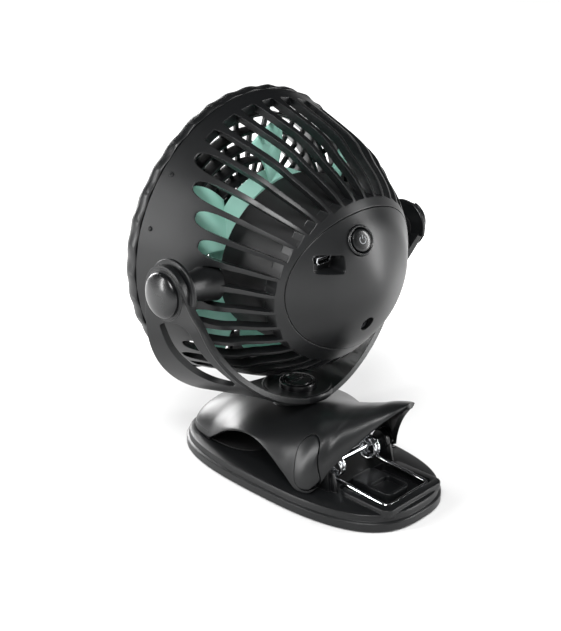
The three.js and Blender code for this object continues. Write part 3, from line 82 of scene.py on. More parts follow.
# Head: [Y, radius] from the seam with the grille to the rearmost point
DOME = [(-30.9, 65.9), (2, 56.3), (14, 49.3), (26, 41.3), (34, 32.1), (41, 21.3), (46.4, 0)]
SEAM_Y, SEAM_RADIUS = DOME[0]
APEX_Y = DOME[-1][0]
CUT_END = APEX_Y + 3
RIB_DEPTH = 3.6
CAP_WALL = 2.4
FIT_GAP = 0.3
SLOT_FRONT_Y = -24
SLOT_REACH = (57.3, 64.4, 2.3)  # beside the axis, above it, and how square
SLOT_INNER = (41.5, 36.0)
SLOT_END_POWER = 2.7
POD_FRONT_Y = -6.3
POD_WALL = 1.8
POD_SINK = 0.6
CAP_HALF = (38.8, 30.3)
CAP_Z = 2.1
CAP_CUT_START = 10
BUTTON_SPOT = (9.8, 22.6)
BUTTON_LEAN = math.radians(28)
BUTTON_TURN = math.radians(12)
BUTTON_RADIUS = 4.6
BEZEL_RADIUS = 6.2
MARK_LINE = 0.16
RECESS = (24, 14.2, 11.4, 7.2, 32.2)  # X, Z, width, height, Y of its floor
RECESS_WALL = 1.2
SOCKET = (24.3, 15.2, 27.5, 33.6)  # X, Z, Y of its back and front
SOCKET_OUTLINE = ((-4.15, 1.45), (4.15, 1.45), (4.15, -0.3), (3.3, -1.45), (-3.3, -1.45), (-4.15, -0.3))
CAP_SCREW_SPOT = (2.6, -14.7)
CAP_SCREW_WELL = 3.3
PIP_ANGLES = (35, 14)
PIP_Y = -27
PIP_LEAN = math.radians(-16)

# Front grille
GRILLE_FACE = SEAM_Y - 8
GRILLE_RIM = 66.6
GRILLE_INNER = 61.7
GRILLE_BAR = 2.2
GRILLE_RINGS = (26.5, 33.5, 40.5, 47.5, 54.5)
RING_DEPTH = 7.4
RING_WIDTH = 1.7
GRILLE_DISC = 20
SPIGOT_WALL = 2.8

# Fan wheel
BLADE_FRONT_Y = -25
BLADE_REAR_Y = -11
BLADE_FIRST = 102
BLADE_SWEEP = 32
BLADE_TIP = 55.5
HUB_RADIUS = 34
HUB_WALL = 1.6

# Pivot, outwards along X
BOSS_ROOT = 52
BOSS_REACH = 70
BOSS_RADIUS = 6.2
DISC_START = 71.3
DISC_THICKNESS = 1.6
DISC_RADIUS = 13.4
DISC_CUT_Z = -2.5
TRIM_START = 76.4
TRIM_RADII = (10.6, 9.9)
TRIM_STEP = 0.35
TRIM_BORE = 2.1
PIVOT_CAP_START = TRIM_START + len(TRIM_RADII) * TRIM_STEP
PIVOT_CAP_RADIUS = 9.2
PIVOT_CAP_HEIGHT = 3.9

# Yoke band: half-width, drop and power of its front and rear edges, and their places along Y
BAND_FRONT = (75, 64.5, 2.3)
BAND_REAR = (67.8, 64.5, 1.73)
BAND_FRONT_Y = (-13, -17, -19.6, -19.8, -18.6, -17)
BAND_REAR_Y = (8, 8.4, 10, 12.6, 14.4, 15)
BAND_THICKNESS = 2.5
BAND_STEPS = 120
OPENING_EDGE = (  # Y and degrees round the band
    (-9, 12.8), (-5, 12), (-1, 12.4), (1.2, 15), (1.9, 18), (2.5, 23.5), (3.4, 29), (5.0, 35.5), (6.4, 42),
    (6.8, 46), (4.5, 48.5), (0.5, 48), (-3.5, 45.5), (-6.5, 41), (-8.6, 34), (-9.8, 27), (-10, 21), (-9.8, 16),
)
# Each arm above the band, as its front and rear edges from the round end's top down to the band
ARM_JOIN = math.radians(18)
ARM_FRONT = (
    (76.6, 0, 11.6), (76.6, -3.0, 11.2), (76.6, -5.8, 10.05), (76.6, -8.2, 8.2), (76.6, -10.05, 5.8),
    (76.6, -11.2, 3.0), (76.5, -11.7, -0.2), (76.2, -12.3, -4.5), (75.5, -13.3, -9.0),
    (74.5, -14.6, -13.5), (73.2, -15.9, -18.4),
)
ARM_REAR = (
    (76.6, 0, 11.6), (76.6, 3.0, 11.2), (76.6, 5.8, 10.05), (76.6, 8.2, 8.2), (76.4, 10.05, 5.8), (75.7, 11.2, 2.8),
    (74.5, 11.3, -0.8), (72.7, 10.8, -4.1), (70.6, 10.1, -7.4), (68.3, 9.5, -10.6), (66.0, 8.9, -13.6),
)
LIP_RADIUS = 0.75
OPENING_SLANT = math.radians(32)
DISH_RADIUS = 16.5
DISH_FLOOR = 2.2
DISH_RIM = 3.9
SWIVEL_CAP_RADIUS = 8.5
SWIVEL_CAP_HEIGHT = 3.1

# Clip
BASE_HALF = (36.1, 66.3, 2.8)
BASE_HEIGHT = 8.1
BASE_RIM = ((0, 1.1), (0.8, 0), (4.2, 0), (4.7, 0.5), (4.9, 1.0), (6.9, 1.2), (7.6, 1.5), (8.1, 2.6))
TRAY = (19.5, 36, 63, 10, 3.6, 4.6)  # half-width, start, end, top, wall, floor
ISLAND = (7.5, 32, 54, 9.4)  # half-width, start, end, top
PAD_Y = -37
PAD_HALF = 24
PAD_RECESS = 1.2
LUG_INNER = 18.5
LUG_THICKNESS = 3
LUG_RADIUS = 4.2
JAW_WALL = 2.4
JAW_HALF_WIDTHS = (
    (-57, 14), (-54.5, 20.5), (-50, 24.5), (-38, 27.8), (-24, 31), (-8, 32), (20, 31.5),
    (28, 29.6), (32, 25), (38.5, 18), (45.5, 12), (53, 7.2), (56.5, 3),
)
JAW_LOWER_EDGE = (
    (-57, 11.2), (-38, 11.2), (-30, 16), (-24, 20.2), (-15, 24.4), (-5, 25.2), (3.7, 22.4),
    (15.5, 13.9), (20.5, 9.7), (24, 8.7), (28, 8.9), (30.5, 12), (34.3, 20.5), (45.5, 37.5), (56.5, 50),
)
JAW_FRONT, JAW_REAR = JAW_HALF_WIDTHS[0][0], JAW_HALF_WIDTHS[-1][0]
NOSE_Z = JAW_LOWER_EDGE[0][1]
JAW_CROWN = (
    (-57, 15), (-54.5, 20), (-50, 23.5), (-40, 27.4), (-31, 28.4), (-15, 31.3), (0, 33.8),
    (20, 37.8), (38, 44.3), (47, 48.3), (56.5, 51.2),
)
JAW_ROUNDNESS = ((-57, 2.2), (-30, 1.8), (-7, 1.45), (10, 1.7), (25, 2), (56.5, 2))
NOSE_REAR = -38
NOSE_PAD = 2.3
NECK_RADIUS = 9
COVER = (24.6, 20.6, 10, 21.5, math.radians(14))  # Y, Z, width, length, lean
COVER_GAP = 0.4
COVER_PROUD = 0.25
COVER_THICKNESS = 1.1
HINGE_RING = ((1.8, 22.5), (3.9, 22.5), (4.2, 22.9), (4.2, 24.5), (1.8, 24.5))

# Spring wire
WIRE_RADIUS = 0.85
COIL_RADIUS = 4.4
COIL_PITCH = 2.2
COIL_TURNS = 2
LOOP_HALF_WIDTH = 14.4
LOOP_END = (58.3, 9.0)
LEG_ANGLE = math.radians(50)
LEG_LENGTH = 16
PIN_RADIUS = 1.5
PIN_HALF_LENGTH = 26

# Camera, worked out from the photograph
CAMERA_SPOT = (0.3066, 0.27795, 0.2264)
CAMERA_AZIMUTH = math.radians(134.046)
CAMERA_ELEVATION = math.radians(20.175)
CAMERA_ROLL = math.radians(0.748)
CAMERA_LENS = 57.0
SENSOR_WIDTH = 36
CAMERA_NEAR = 0.01

# Stage, in metres
WHITE = (1, 1, 1, 1)
FLOOR_HALF = 4
FLOOR_FADE = (0.10, 0.30)
LIGHTS_AIM = Vector((0, 0, 0.1))
LIGHTS = (
    # name, place, width, height, watts
    ("key_box", (0.45, 0.35, 0.70), 0.30, 0.30, 8.0),
    ("left_strip", (0.60, -0.30, 0.30), 0.08, 0.5, 4.0),
    ("right_strip", (-0.45, 0.55, 0.25), 0.08, 0.5, 4.0),
    ("front_fill", (-0.10, -0.75, 0.30), 0.4, 0.4, 7.0),
)


class ClipFanSettings(bpy.types.PropertyGroup):
    slot_count: IntProperty(name="Slots", description="Air slots round the housing", default=36, min=6)
    rib_outer: FloatProperty(name="Rib at the rim", description="Width between slots, mm", default=2.3)
    rib_inner: FloatProperty(name="Rib at the pod", description="Width between slots, mm", default=1.2)
    scallop: FloatProperty(name="Scallop", description="Height of the rim's scallops, mm", default=0.35)
    blade_count: IntProperty(name="Blades", description="Blades of the fan wheel", default=6, min=2)
    turn_steps: IntProperty(name="Steps", description="Steps of a full turn", default=144, min=24)
    shell_colour: StringProperty(name="Shell", description="Moulded black shell, hex", default="#0c0d0e")
    wheel_colour: StringProperty(name="Fan wheel", description="Moulded wheel, hex", default="#abdccf")
    steel_colour: StringProperty(name="Wire", description="Spring wire, hex", default="#d3d5d8")


# ------------------------------------------------------------------ numbers and curves

def settings():
    return bpy.context.scene.clip_fan


def along(outline, place):
    """Value of [(place, value), ...] on a smooth curve through its points."""
    last = len(outline) - 1
    if place <= outline[0][0]:
        return outline[0][1]
    if place >= outline[last][0]:
        return outline[last][1]
    i = next(k for k in range(last) if outline[k + 1][0] > place)

    def slope(k):
        low, high = outline[max(k - 1, 0)], outline[min(k + 1, last)]
        return (high[1] - low[1]) / (high[0] - low[0])

    (p0, v0), (p1, v1) = outline[i], outline[i + 1]
    span = p1 - p0
    t = (place - p0) / span
    return (
        (2 * t**3 - 3 * t**2 + 1) * v0
        + (t**3 - 2 * t**2 + t) * span * slope(i)
        + (3 * t**2 - 2 * t**3) * v1
        + (t**3 - t**2) * span * slope(i + 1)
    )


def catmull_rom(a, b, c, d, per):
    """Points of the curve from b up to c, whose neighbours are a and d."""
    return [
        0.5 * (2 * b + (c - a) * t + (2 * a - 5 * b + 4 * c - d) * t**2 + (3 * b - a - 3 * c + d) * t**3)
        for t in (k / per for k in range(per))
    ]


def smooth_line(points, per, closed=False):
    """Points on a curve through 2-D points; an open one meets its axis squarely at its end."""
    count = len(points)
    line = []
    for i in range(count if closed else count - 1):
        if closed:
            a, b, c, d = (Vector(points[(i + k) % count]) for k in (-1, 0, 1, 2))
        else:
            b, c = Vector(points[i]), Vector(points[i + 1])
            a = Vector(points[i - 1]) if i else 2 * b - c
            d = Vector(points[i + 2]) if i + 2 < count else Vector((points[-2][0], -points[-2][1]))
        line += catmull_rom(a, b, c, d, per)
    if not closed:
        line.append(Vector(points[-1]))
    return [(p.x, p.y) for p in line]


def space_line(points, per):
    """Points on a curve through 3-D points."""
    spots = [Vector(p) for p in points]
    spots = [2 * spots[0] - spots[1], *spots, 2 * spots[-1] - spots[-2]]
    fours = zip(spots, spots[1:], spots[2:], spots[3:])
    return [point for four in fours for point in catmull_rom(*four, per)] + [spots[-2]]


def superellipse(first, second, power, count, start=0.0, end=FULL_TURN):
    whole = abs(end - start - FULL_TURN) < 1e-9
    points = []
    for i in range(count):
        angle = start + (end - start) * i / (count if whole else count - 1)
        c, s = math.cos(angle), math.sin(angle)
        points.append((
            first * math.copysign(abs(c) ** (2 / power), c),
            second * math.copysign(abs(s) ** (2 / power), s),
        ))
    return points


def rounded_rectangle(x0, x1, y0, y1, radius, steps=6):
    corners = ((x1 - radius, y0 + radius, -90), (x1 - radius, y1 - radius, 0),
               (x0 + radius, y1 - radius, 90), (x0 + radius, y0 + radius, 180))
    points = []
    for x, y, start in corners:
        for k in range(steps + 1):
            turn = math.radians(start + 90 * k / steps)
            points.append((x + radius * math.cos(turn), y + radius * math.sin(turn)))
    return points


def arc(radius, start, end, steps, x=0.0, y=0.0):
    turns = [start + (end - start) * k / steps for k in range(steps + 1)]
    return [(x + radius * math.cos(t), y + radius * math.sin(t)) for t in turns]


OUTER_LINE = smooth_line(DOME, 8)


def dome_line(inset):
    """The dome's outline [(Y, radius)] moved inwards."""
    line = []
    for i, (y, radius) in enumerate(OUTER_LINE):
        before = OUTER_LINE[max(i - 1, 0)]
        after = OUTER_LINE[min(i + 1, len(OUTER_LINE) - 1)]
        along_y, along_r = after[0] - before[0], after[1] - before[1]
        length = math.hypot(along_y, along_r)
        if i == len(OUTER_LINE) - 1:
            line.append((y - inset, 0.0))
        else:
            line.append((y + inset * along_r / length * (i > 0), radius - inset * along_y / length))
    return line


def dome_y(radius):
    for (y0, r0), (y1, r1) in zip(OUTER_LINE, OUTER_LINE[1:]):
        if r1 <= radius <= r0:
            return y0 + (y1 - y0) * (r0 - radius) / (r0 - r1)
    return APEX_Y


# ------------------------------------------------------------------ shapes

PLACES = {
    "X": (lambda r, h: (h, r, 0), (1, 0, 0)),
    "Y": (lambda r, h: (r, h, 0), (0, 1, 0)),
    "Z": (lambda r, h: (r, 0, h), (0, 0, 1)),
}


def lathe(outline, axis="Y", steps=None, closed=False):
    """An outline of (radius, place) spun about an axis; it starts and ends on the axis unless closed."""
    place, direction = PLACES[axis]
    bm = bmesh.new()
    verts = [bm.verts.new(place(r, h)) for r, h in outline]
    edges = [bm.edges.new(pair) for pair in zip(verts, verts[1:])]
    if closed:
        edges.append(bm.edges.new((verts[-1], verts[0])))
    bmesh.ops.spin(
        bm, geom=verts + edges, cent=(0, 0, 0), axis=direction, dvec=(0, 0, 0), angle=FULL_TURN,
        steps=steps or settings().turn_steps, use_merge=True, use_normal_flip=False, use_duplicate=False,
    )
    bmesh.ops.remove_doubles(bm, verts=bm.verts, dist=1e-4)
    bmesh.ops.recalc_face_normals(bm, faces=bm.faces)
    return bm


def side_lathe(outline, side, steps, closed=False):
    """An outline of (radius, X) spun about X, on the +X or the -X side."""
    return lathe([(r, side * x) for r, x in outline], "X", steps, closed)


def extruded(bm, faces, way):
    """Carries faces along a way, with walls behind them."""
    grown = bmesh.ops.extrude_face_region(bm, geom=faces)
    moved = [item for item in grown["geom"] if isinstance(item, bmesh.types.BMVert)]
    bmesh.ops.translate(bm, verts=moved, vec=way)
    bmesh.ops.recalc_face_normals(bm, faces=bm.faces)
    return bm


def prism(points, axis, low, high):
    """A flat outline carried along an axis: (X, Z) along Y, (Y, Z) along X, or (X, Y) along Z."""
    spots = {
        "X": lambda a, b: (low, a, b),
        "Y": lambda a, b: (a, low, b),
        "Z": lambda a, b: (a, b, low),
    }[axis]
    bm = bmesh.new()
    face = bm.faces.new([bm.verts.new(spots(a, b)) for a, b in points])
    return extruded(bm, [face], Vector(PLACES[axis][1]) * (high - low))


def sheet_of(across, down, spot):
    """A grid whose points are placed by a function of two shares from 0 to 1."""
    bm = bmesh.new()
    bmesh.ops.create_grid(bm, x_segments=across, y_segments=down, size=1)
    for vert in bm.verts:
        vert.co = spot((vert.co.x + 1) / 2, (vert.co.y + 1) / 2)
    return bm


def thicken(bm, thickness, outward=None):
    """Gives a sheet a wall behind its faces, turned first so that outward(face) adds up to more than 0."""
    bmesh.ops.recalc_face_normals(bm, faces=bm.faces)
    if outward and sum(outward(face) for face in bm.faces) < 0:
        bmesh.ops.reverse_faces(bm, faces=bm.faces)
    bmesh.ops.solidify(bm, geom=bm.faces[:], thickness=thickness)
    bmesh.ops.recalc_face_normals(bm, faces=bm.faces)
    return bm


def soften(bm, width, angle=40, segments=2):
    """Bevels the edges sharper than an angle."""
    sharp = [e for e in bm.edges if e.is_manifold and e.calc_face_angle(0) > math.radians(angle)]
    bmesh.ops.bevel(
        bm, geom=sharp, offset=width, offset_type="OFFSET", affect="EDGES", segments=segments,
        profile=0.5, material=-1, clamp_overlap=True,
    )
    return bm


def tube(points, radius, sides=16):
    """A round wire along 3-D points, closed at both ends."""
    bm = bmesh.new()
    side = Vector((1, 0, 0))
    rings = []
    for i, point in enumerate(points):
        way = (points[min(i + 1, len(points) - 1)] - points[max(i - 1, 0)]).normalized()
        side = (side - way * side.dot(way)).normalized()
        other = way.cross(side)
        ring = bmesh.ops.create_circle(bm, cap_ends=False, segments=sides, radius=radius)["verts"]
        turn = Matrix((side, other, way)).transposed().to_4x4()
        bmesh.ops.transform(bm, matrix=Matrix.Translation(point) @ turn, verts=ring)
        rings.append(ring)
    for before, after in zip(rings, rings[1:]):
        for k in range(sides):
            bm.faces.new((before[k], before[(k + 1) % sides], after[(k + 1) % sides], after[k]))
    bm.faces.new(rings[0])
    bm.faces.new(rings[-1])
    bmesh.ops.recalc_face_normals(bm, faces=bm.faces)
    return bm


def placed(bm, matrix):
    bmesh.ops.transform(bm, matrix=matrix, verts=bm.verts)
    return bm


def mirrored(bm):
    bmesh.ops.scale(bm, vec=(-1, 1, 1), verts=bm.verts)
    bmesh.ops.reverse_faces(bm, faces=bm.faces)
    return bm


def together(*shapes):
    """Several shapes as one bmesh."""
    whole = shapes[0]
    for shape in shapes[1:]:
        mesh = bpy.data.meshes.new("part")
        shape.to_mesh(mesh)
        whole.from_mesh(mesh)
        shape.free()
        bpy.data.meshes.remove(mesh)
    return whole


def loose_object(bm, name):
    mesh = bpy.data.meshes.new(name)
    bm.to_mesh(mesh)
    bm.free()
    thing = bpy.data.objects.new(name, mesh)
    bpy.context.scene.collection.objects.link(thing)
    return thing


def carved(bm, *cuts):
    """The shape after cuts of (operation, shape), by exact booleans."""
    block = loose_object(bm, "block")
    tools = []
    for operation, shape in cuts:
        tool = loose_object(shape, "tool")
        step = block.modifiers.new("cut", "BOOLEAN")
        step.operation = operation
        step.solver = "EXACT"
        step.object = tool
        tools.append(tool)
    bpy.context.view_layer.update()
    result = bmesh.new()
    result.from_mesh(block.evaluated_get(bpy.context.evaluated_depsgraph_get()).to_mesh())
    for thing in (block, *tools):
        mesh = thing.data
        bpy.data.objects.remove(thing)
        bpy.data.meshes.remove(mesh)
    return result


def finished(bm, name, body, look, *nodes, at=None, slot=None):
    """A finished piece in metres, riding on its body, if it has one, and standing for its nodes."""
    if at is not None:
        placed(bm, at)
    bmesh.ops.scale(bm, vec=(MM, MM, MM), verts=bm.verts)
    thing = loose_object(bm, name)
    for polygon in thing.data.polygons:
        polygon.use_smooth = True
    thing.data.set_sharp_from_angle(angle=SHARP_ANGLE)
    thing.data.materials.append(MATERIALS[look])
    if body:
        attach(thing, body)
    if nodes:
        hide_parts(*nodes)
    return thing


# ------------------------------------------------------------------ materials

def linear(hex_colour):
    """A colour written in sRGB hex as linear RGBA."""
    channels = [int(hex_colour[i:i + 2], 16) / 255 for i in (1, 3, 5)]
    return (*(c / 12.92 if c <= 0.04045 else ((c + 0.055) / 1.055) ** 2.4 for c in channels), 1.0)


def add(tree, kind, links=(), **values):
    """Adds a node with its settings, and links (input, socket) into it."""
    node = tree.nodes.new(kind)
    for key, value in values.items():
        if hasattr(node, key):
            setattr(node, key, value)
        else:
            node.inputs[key.replace("_", " ")].default_value = value
    for target, source in links:
        tree.links.new(source, node.inputs[target])
    return node


def blank(name):
    material = bpy.data.materials.new(name)
    material.use_nodes = True
    material.node_tree.nodes.clear()
    return material, material.node_tree


def noise(tree, scale, detail):
    """Noise that stays with the object."""
    place = add(tree, "ShaderNodeTexCoord").outputs["Object"]
    return add(tree, "ShaderNodeTexNoise", [("Vector", place)], Scale=scale, Detail=detail).outputs["Fac"]


def spread(tree, value, low, high):
    """A value from 0 to 1 carried over to a range."""
    return add(tree, "ShaderNodeMapRange", [("Value", value)], To_Min=low, To_Max=high).outputs["Result"]


def moulded(name, hex_colour, lighter, grain_mm, grain, rough, edge_mm, coat=0.0, through=0.0):
    """Moulded plastic: fine spark-eroded grain, slight cloudiness, and edges eased by the tool."""
    material, tree = blank(name)
    clouds = noise(tree, 60.0, 3.0)
    tint = add(
        tree, "ShaderNodeMix", [("Factor", clouds)], data_type="RGBA", A=linear(hex_colour), B=linear(lighter),
    ).outputs["Result"]
    eased = add(tree, "ShaderNodeBevel", samples=4, Radius=edge_mm * MM)
    bump = add(
        tree, "ShaderNodeBump",
        [("Height", noise(tree, 1 / (grain_mm * MM), 2.0)), ("Normal", eased.outputs["Normal"])],
        Strength=grain, Distance=0.05 * MM,
    )
    surface = add(
        tree, "ShaderNodeBsdfPrincipled",
        [("Base Color", tint), ("Roughness", spread(tree, clouds, rough - 0.04, rough + 0.05)),
         ("Normal", bump.outputs["Normal"])], IOR=1.5, Specular_IOR_Level=0.36, Coat_Weight=coat,
    ).outputs["BSDF"]
    if through:
        lit = add(tree, "ShaderNodeBsdfTranslucent", [("Color", tint)]).outputs["BSDF"]
        surface = add(tree, "ShaderNodeMixShader", [(1, surface), (2, lit)], Fac=through).outputs["Shader"]
    add(tree, "ShaderNodeOutputMaterial", [("Surface", surface)])
    return material


def steel(name, hex_colour, rough, streak_mm):
    """Drawn or turned steel: fine streaks and a clear reflection."""
    material, tree = blank(name)
    streaks = noise(tree, 1 / (streak_mm * MM), 4.0)
    bump = add(tree, "ShaderNodeBump", [("Height", streaks)], Strength=0.12, Distance=0.02 * MM)
    skin = add(
        tree, "ShaderNodeBsdfPrincipled",
        [("Roughness", spread(tree, streaks, rough * 0.7, rough * 1.4)), ("Normal", bump.outputs["Normal"])],
        Metallic=1.0, Base_Color=linear(hex_colour),
    )
    add(tree, "ShaderNodeOutputMaterial", [("Surface", skin.outputs["BSDF"])])
    return material


def make_materials():
    s = settings()
    # moulded: colour, lighter clouds, grain in mm and its strength, roughness, eased edge in mm, gloss coat,
    # light let through; steel: colour, roughness, streaks in mm
    return {
        # ABS off a spark-eroded tool: a deep black with a satin sheen and a grain you can just see
        "shell": moulded("satin_black_abs", s.shell_colour, "#111213", 0.35, 0.10, 0.36, 0.45),
        # The same ABS from a polished tool: button, pivot caps
        "gloss": moulded("smooth_black_abs", "#0b0c0d", "#101112", 0.5, 0.04, 0.27, 0.3, 0.1),
        # Inside faces and the motor plate, coarser and duller
        "inner": moulded("grained_black_abs", "#0d0d0e", "#161617", 0.6, 0.35, 0.5, 0.3),
        # Soft moulded rubber of the pads
        "rubber": moulded("black_rubber", "#0b0b0c", "#121213", 0.8, 0.3, 0.72, 0.5),
        # Polypropylene wheel, a little see-through at its thin edges
        "wheel": moulded("mint_polypropylene", s.wheel_colour, "#b4e0d4", 0.8, 0.05, 0.32, 0.3, 0.0, 0.35),
        # Printed mark on the button
        "mark": moulded("grey_print", "#8b8d90", "#979a9d", 0.3, 0.05, 0.5, 0.05),
        # Nickel-plated spring wire and hinge pin, bright with a clear reflection
        "wire": steel("plated_spring_wire", s.steel_colour, 0.16, 0.6),
        # Blackened screws
        "screw": steel("blackened_steel", "#2c2d2f", 0.4, 0.4),
        # Glass-fibre laminate of the circuit board, a flat green
        "board": moulded("board_laminate", "#1f5c3a", "#256844", 0.4, 0.1, 0.5, 0.1),
        # Shrunk sleeve of the cell, smooth and a little glossy
        "sleeve": moulded("cell_sleeve", "#2f4f86", "#35578f", 1.0, 0.05, 0.3, 0.2, 0.5),
    }


MATERIALS = {}
CARRIED = {
    "screw": ("cap_screw", "motor_can", "motor_screw_upper", "motor_screw_lower", "plate_screw_left",
              "plate_screw_right", "pivot_screw_left", "pivot_screw_right", "swivel_screw"),
    "wire": ("swivel_washer", "cell_contact_left", "cell_contact_right", "motor_shaft"),
    "inner": ("tact_switch", "motor_mount", "friction_washer_left", "friction_washer_right"),
    "board": ("circuit_board",),
    "sleeve": ("battery_cell",),
}


def dress_carried():
    for key, nodes in CARRIED.items():
        for node in nodes:
            thing = frame["nodes"][node]
            thing.data.materials.clear()
            thing.data.materials.append(MATERIALS[key])


# ------------------------------------------------------------------ head

def slot_outline(angle):
    """One air slot's outline, square on the pod and round at its outer end."""
    s = settings()
    half_pitch = HALF_TURN / s.slot_count
    c, sn = abs(math.cos(angle)), abs(math.sin(angle))
    inner = ((c / SLOT_INNER[0]) ** 2 + (sn / SLOT_INNER[1]) ** 2) ** -0.5
    beside, above, power = SLOT_REACH
    tip = ((c / beside) ** power + (sn / above) ** power) ** (-1 / power)
    inner_half = inner * math.sin(half_pitch) - s.rib_inner / 2
    outer_half = (tip * math.sin(half_pitch) - s.rib_outer / 2) / (1 + math.sin(half_pitch))
    end = superellipse(outer_half, outer_half, SLOT_END_POWER, 17, -HALF_TURN / 2, HALF_TURN / 2)
    outline = [(inner, inner_half), (inner, -inner_half), *((x + tip - outer_half, y) for x, y in end)]
    turn = Matrix.Rotation(angle, 2)
    return [tuple(turn @ Vector(p)) for p in outline]


def cap_block(margin=0.0):
    """The space of the rear cap, right through the dome."""
    outline = superellipse(CAP_HALF[0] + margin, CAP_HALF[1] + margin, 2, 128)
    return prism([(x, z + CAP_Z) for x, z in outline], "Y", CAP_CUT_START, CUT_END)


def shell_of(inset):
    """The dome's wall, closed across its mouth's rim."""
    outer = [(r, y) for y, r in OUTER_LINE]
    inner = [(r, y) for y, r in reversed(dome_line(inset))]
    return lathe(outer + inner, "Y", closed=True)


def housing_shape():
    s = settings()
    angles = [FULL_TURN * (i + 0.5) / s.slot_count for i in range(s.slot_count)]
    slots = [prism(slot_outline(angle), "Y", SLOT_FRONT_Y, APEX_Y + 2) for angle in angles]
    shell = carved(shell_of(RIB_DEPTH), ("DIFFERENCE", together(*slots)), ("DIFFERENCE", cap_block(FIT_GAP)))
    return together(shell, boss_shape(1), boss_shape(-1))


def pod_shape():
    """Wall of the oval well behind the fan wheel, ending under the dome."""

    def spot(u, v):
        angle = FULL_TURN * u
        x, z = SLOT_INNER[0] * math.cos(angle), SLOT_INNER[1] * math.sin(angle)
        back = dome_y(math.hypot(x, z)) - POD_SINK
        return Vector((x, POD_FRONT_Y + (back - POD_FRONT_Y) * v, z))

    wall = sheet_of(128, 12, spot)
    bmesh.ops.remove_doubles(wall, verts=wall.verts, dist=1e-3)
    return thicken(wall, POD_WALL)


def boss_shape(side):
    """The housing's stub out to an arm of the yoke."""
    outline = [
        (0, BOSS_ROOT), (8, BOSS_ROOT), (6.6, BOSS_ROOT + 6), (BOSS_RADIUS, BOSS_ROOT + 10),
        (BOSS_RADIUS, BOSS_REACH - 0.4), (5.8, BOSS_REACH), (0, BOSS_REACH),
    ]
    return side_lathe(outline, side, 64)


def pip_shapes():
    """Two small pips by the seam above the pivot."""
    shapes = []
    for degrees in PIP_ANGLES:
        turn = math.radians(degrees)
        radius = along(OUTER_LINE, PIP_Y)
        spin = Matrix.Rotation(-turn, 4, "Y") @ Matrix.Rotation(PIP_LEAN, 4, "Z")
        at = Matrix.Translation((radius * math.cos(turn), PIP_Y, radius * math.sin(turn)))
        pip = lathe([(0, 0.35), (0.9, 0.3), (1.1, 0), (1.1, -0.6), (0, -0.6)], "X", 24)
        shapes.append(placed(pip, at @ spin))
    return shapes


def button_frame():
    x, z = BUTTON_SPOT
    spot = Matrix.Translation((x, dome_y(math.hypot(x, z)), z))
    return spot @ Matrix.Rotation(-BUTTON_TURN, 4, "Z") @ Matrix.Rotation(BUTTON_LEAN, 4, "X")


def socket_prism(grown, back, front):
    """A block with the socket's outline, grown by a factor."""
    x, z = SOCKET[:2]
    return prism([(x + a * grown, z + b * grown) for a, b in SOCKET_OUTLINE], "Y", back, front)


def socket_shape():
    """Folded shell of the charging socket."""
    back, front = SOCKET[2:]
    return carved(socket_prism(1, back, front), ("DIFFERENCE", socket_prism(0.86, back + 1, front + 1)))


def tongue_shape():
    x, z, back, front = SOCKET
    return prism(rounded_rectangle(x - 2.9, x + 2.9, z - 0.2, z + 0.5, 0.2, 2), "Y", back + 0.5, front - 0.8)


def recess_block(margin, radius, back, front):
    """A block with the recess's outline, grown by a margin."""
    x, z, width, height = RECESS[:4]
    half_w, half_h = width / 2, height / 2
    box = (x - half_w - margin, x + half_w + margin, z - half_h - margin, z + half_h + margin)
    return prism(rounded_rectangle(*box, radius), "Y", back, front)


def screw_sleeve():
    """The short tube round the cap's screw well."""
    inner, outer = CAP_SCREW_WELL, CAP_SCREW_WELL + 1.1
    end = dome_y(math.hypot(*CAP_SCREW_SPOT)) - CAP_WALL + 0.4
    return lathe([(inner, 38.8), (outer, 38.8), (outer, end), (inner, end)], "Y", 48, closed=True)


def cap_shape():
    floor = RECESS[4]
    inside = lathe([(r, y) for y, r in [(SEAM_Y, 0), *dome_line(CAP_WALL / 2)]], "Y")
    wall_block = carved(recess_block(RECESS_WALL, 1.6, floor - RECESS_WALL, APEX_Y), ("INTERSECT", inside))
    well = lathe([(0, -6), (CAP_SCREW_WELL, -6), (CAP_SCREW_WELL, 30), (0, 30)], "Y", 48)
    hole = BEZEL_RADIUS + 0.15
    button_hole = lathe([(0, -8), (hole, -8), (hole, 4), (0, 4)], "Y", 64)
    screw_x, screw_z = CAP_SCREW_SPOT
    cap = carved(
        carved(shell_of(CAP_WALL), ("INTERSECT", cap_block())),
        ("UNION", wall_block),
        ("DIFFERENCE", recess_block(0, 1.3, floor, CUT_END)),
        ("DIFFERENCE", socket_prism(1.07, floor - 3, floor + 2)),
        ("DIFFERENCE", placed(button_hole, button_frame())),
        ("DIFFERENCE", placed(well, Matrix.Translation((screw_x, 40, screw_z)))),
    )
    return together(cap, placed(screw_sleeve(), Matrix.Translation((screw_x, 0, screw_z))))


def bezel_shape():
    bead = arc(0.5, 0, HALF_TURN, 10, 5.65, -0.1)[1:-1]
    outline = [(5.0, -2.7), (BEZEL_RADIUS, -2.7), (BEZEL_RADIUS, -0.1), *bead, (5.0, -0.1)]
    return lathe(outline, "Y", 72, closed=True)


def button_shape():
    outline = [
        (0, -1.4), (BUTTON_RADIUS, -1.4), (BUTTON_RADIUS, 0.3), (BUTTON_RADIUS - 0.12, 0.62),
        (BUTTON_RADIUS - 0.45, 0.82), (3.4, 0.98), (2.3, 1.06), (1.2, 1.1), (0, 1.12),
    ]
    stem = [(0, -5.4), (3.3, -5.4), (3.3, -1.2), (0, -1.2)]
    return together(lathe(outline, "Y", 72), lathe(stem, "Y", 32))


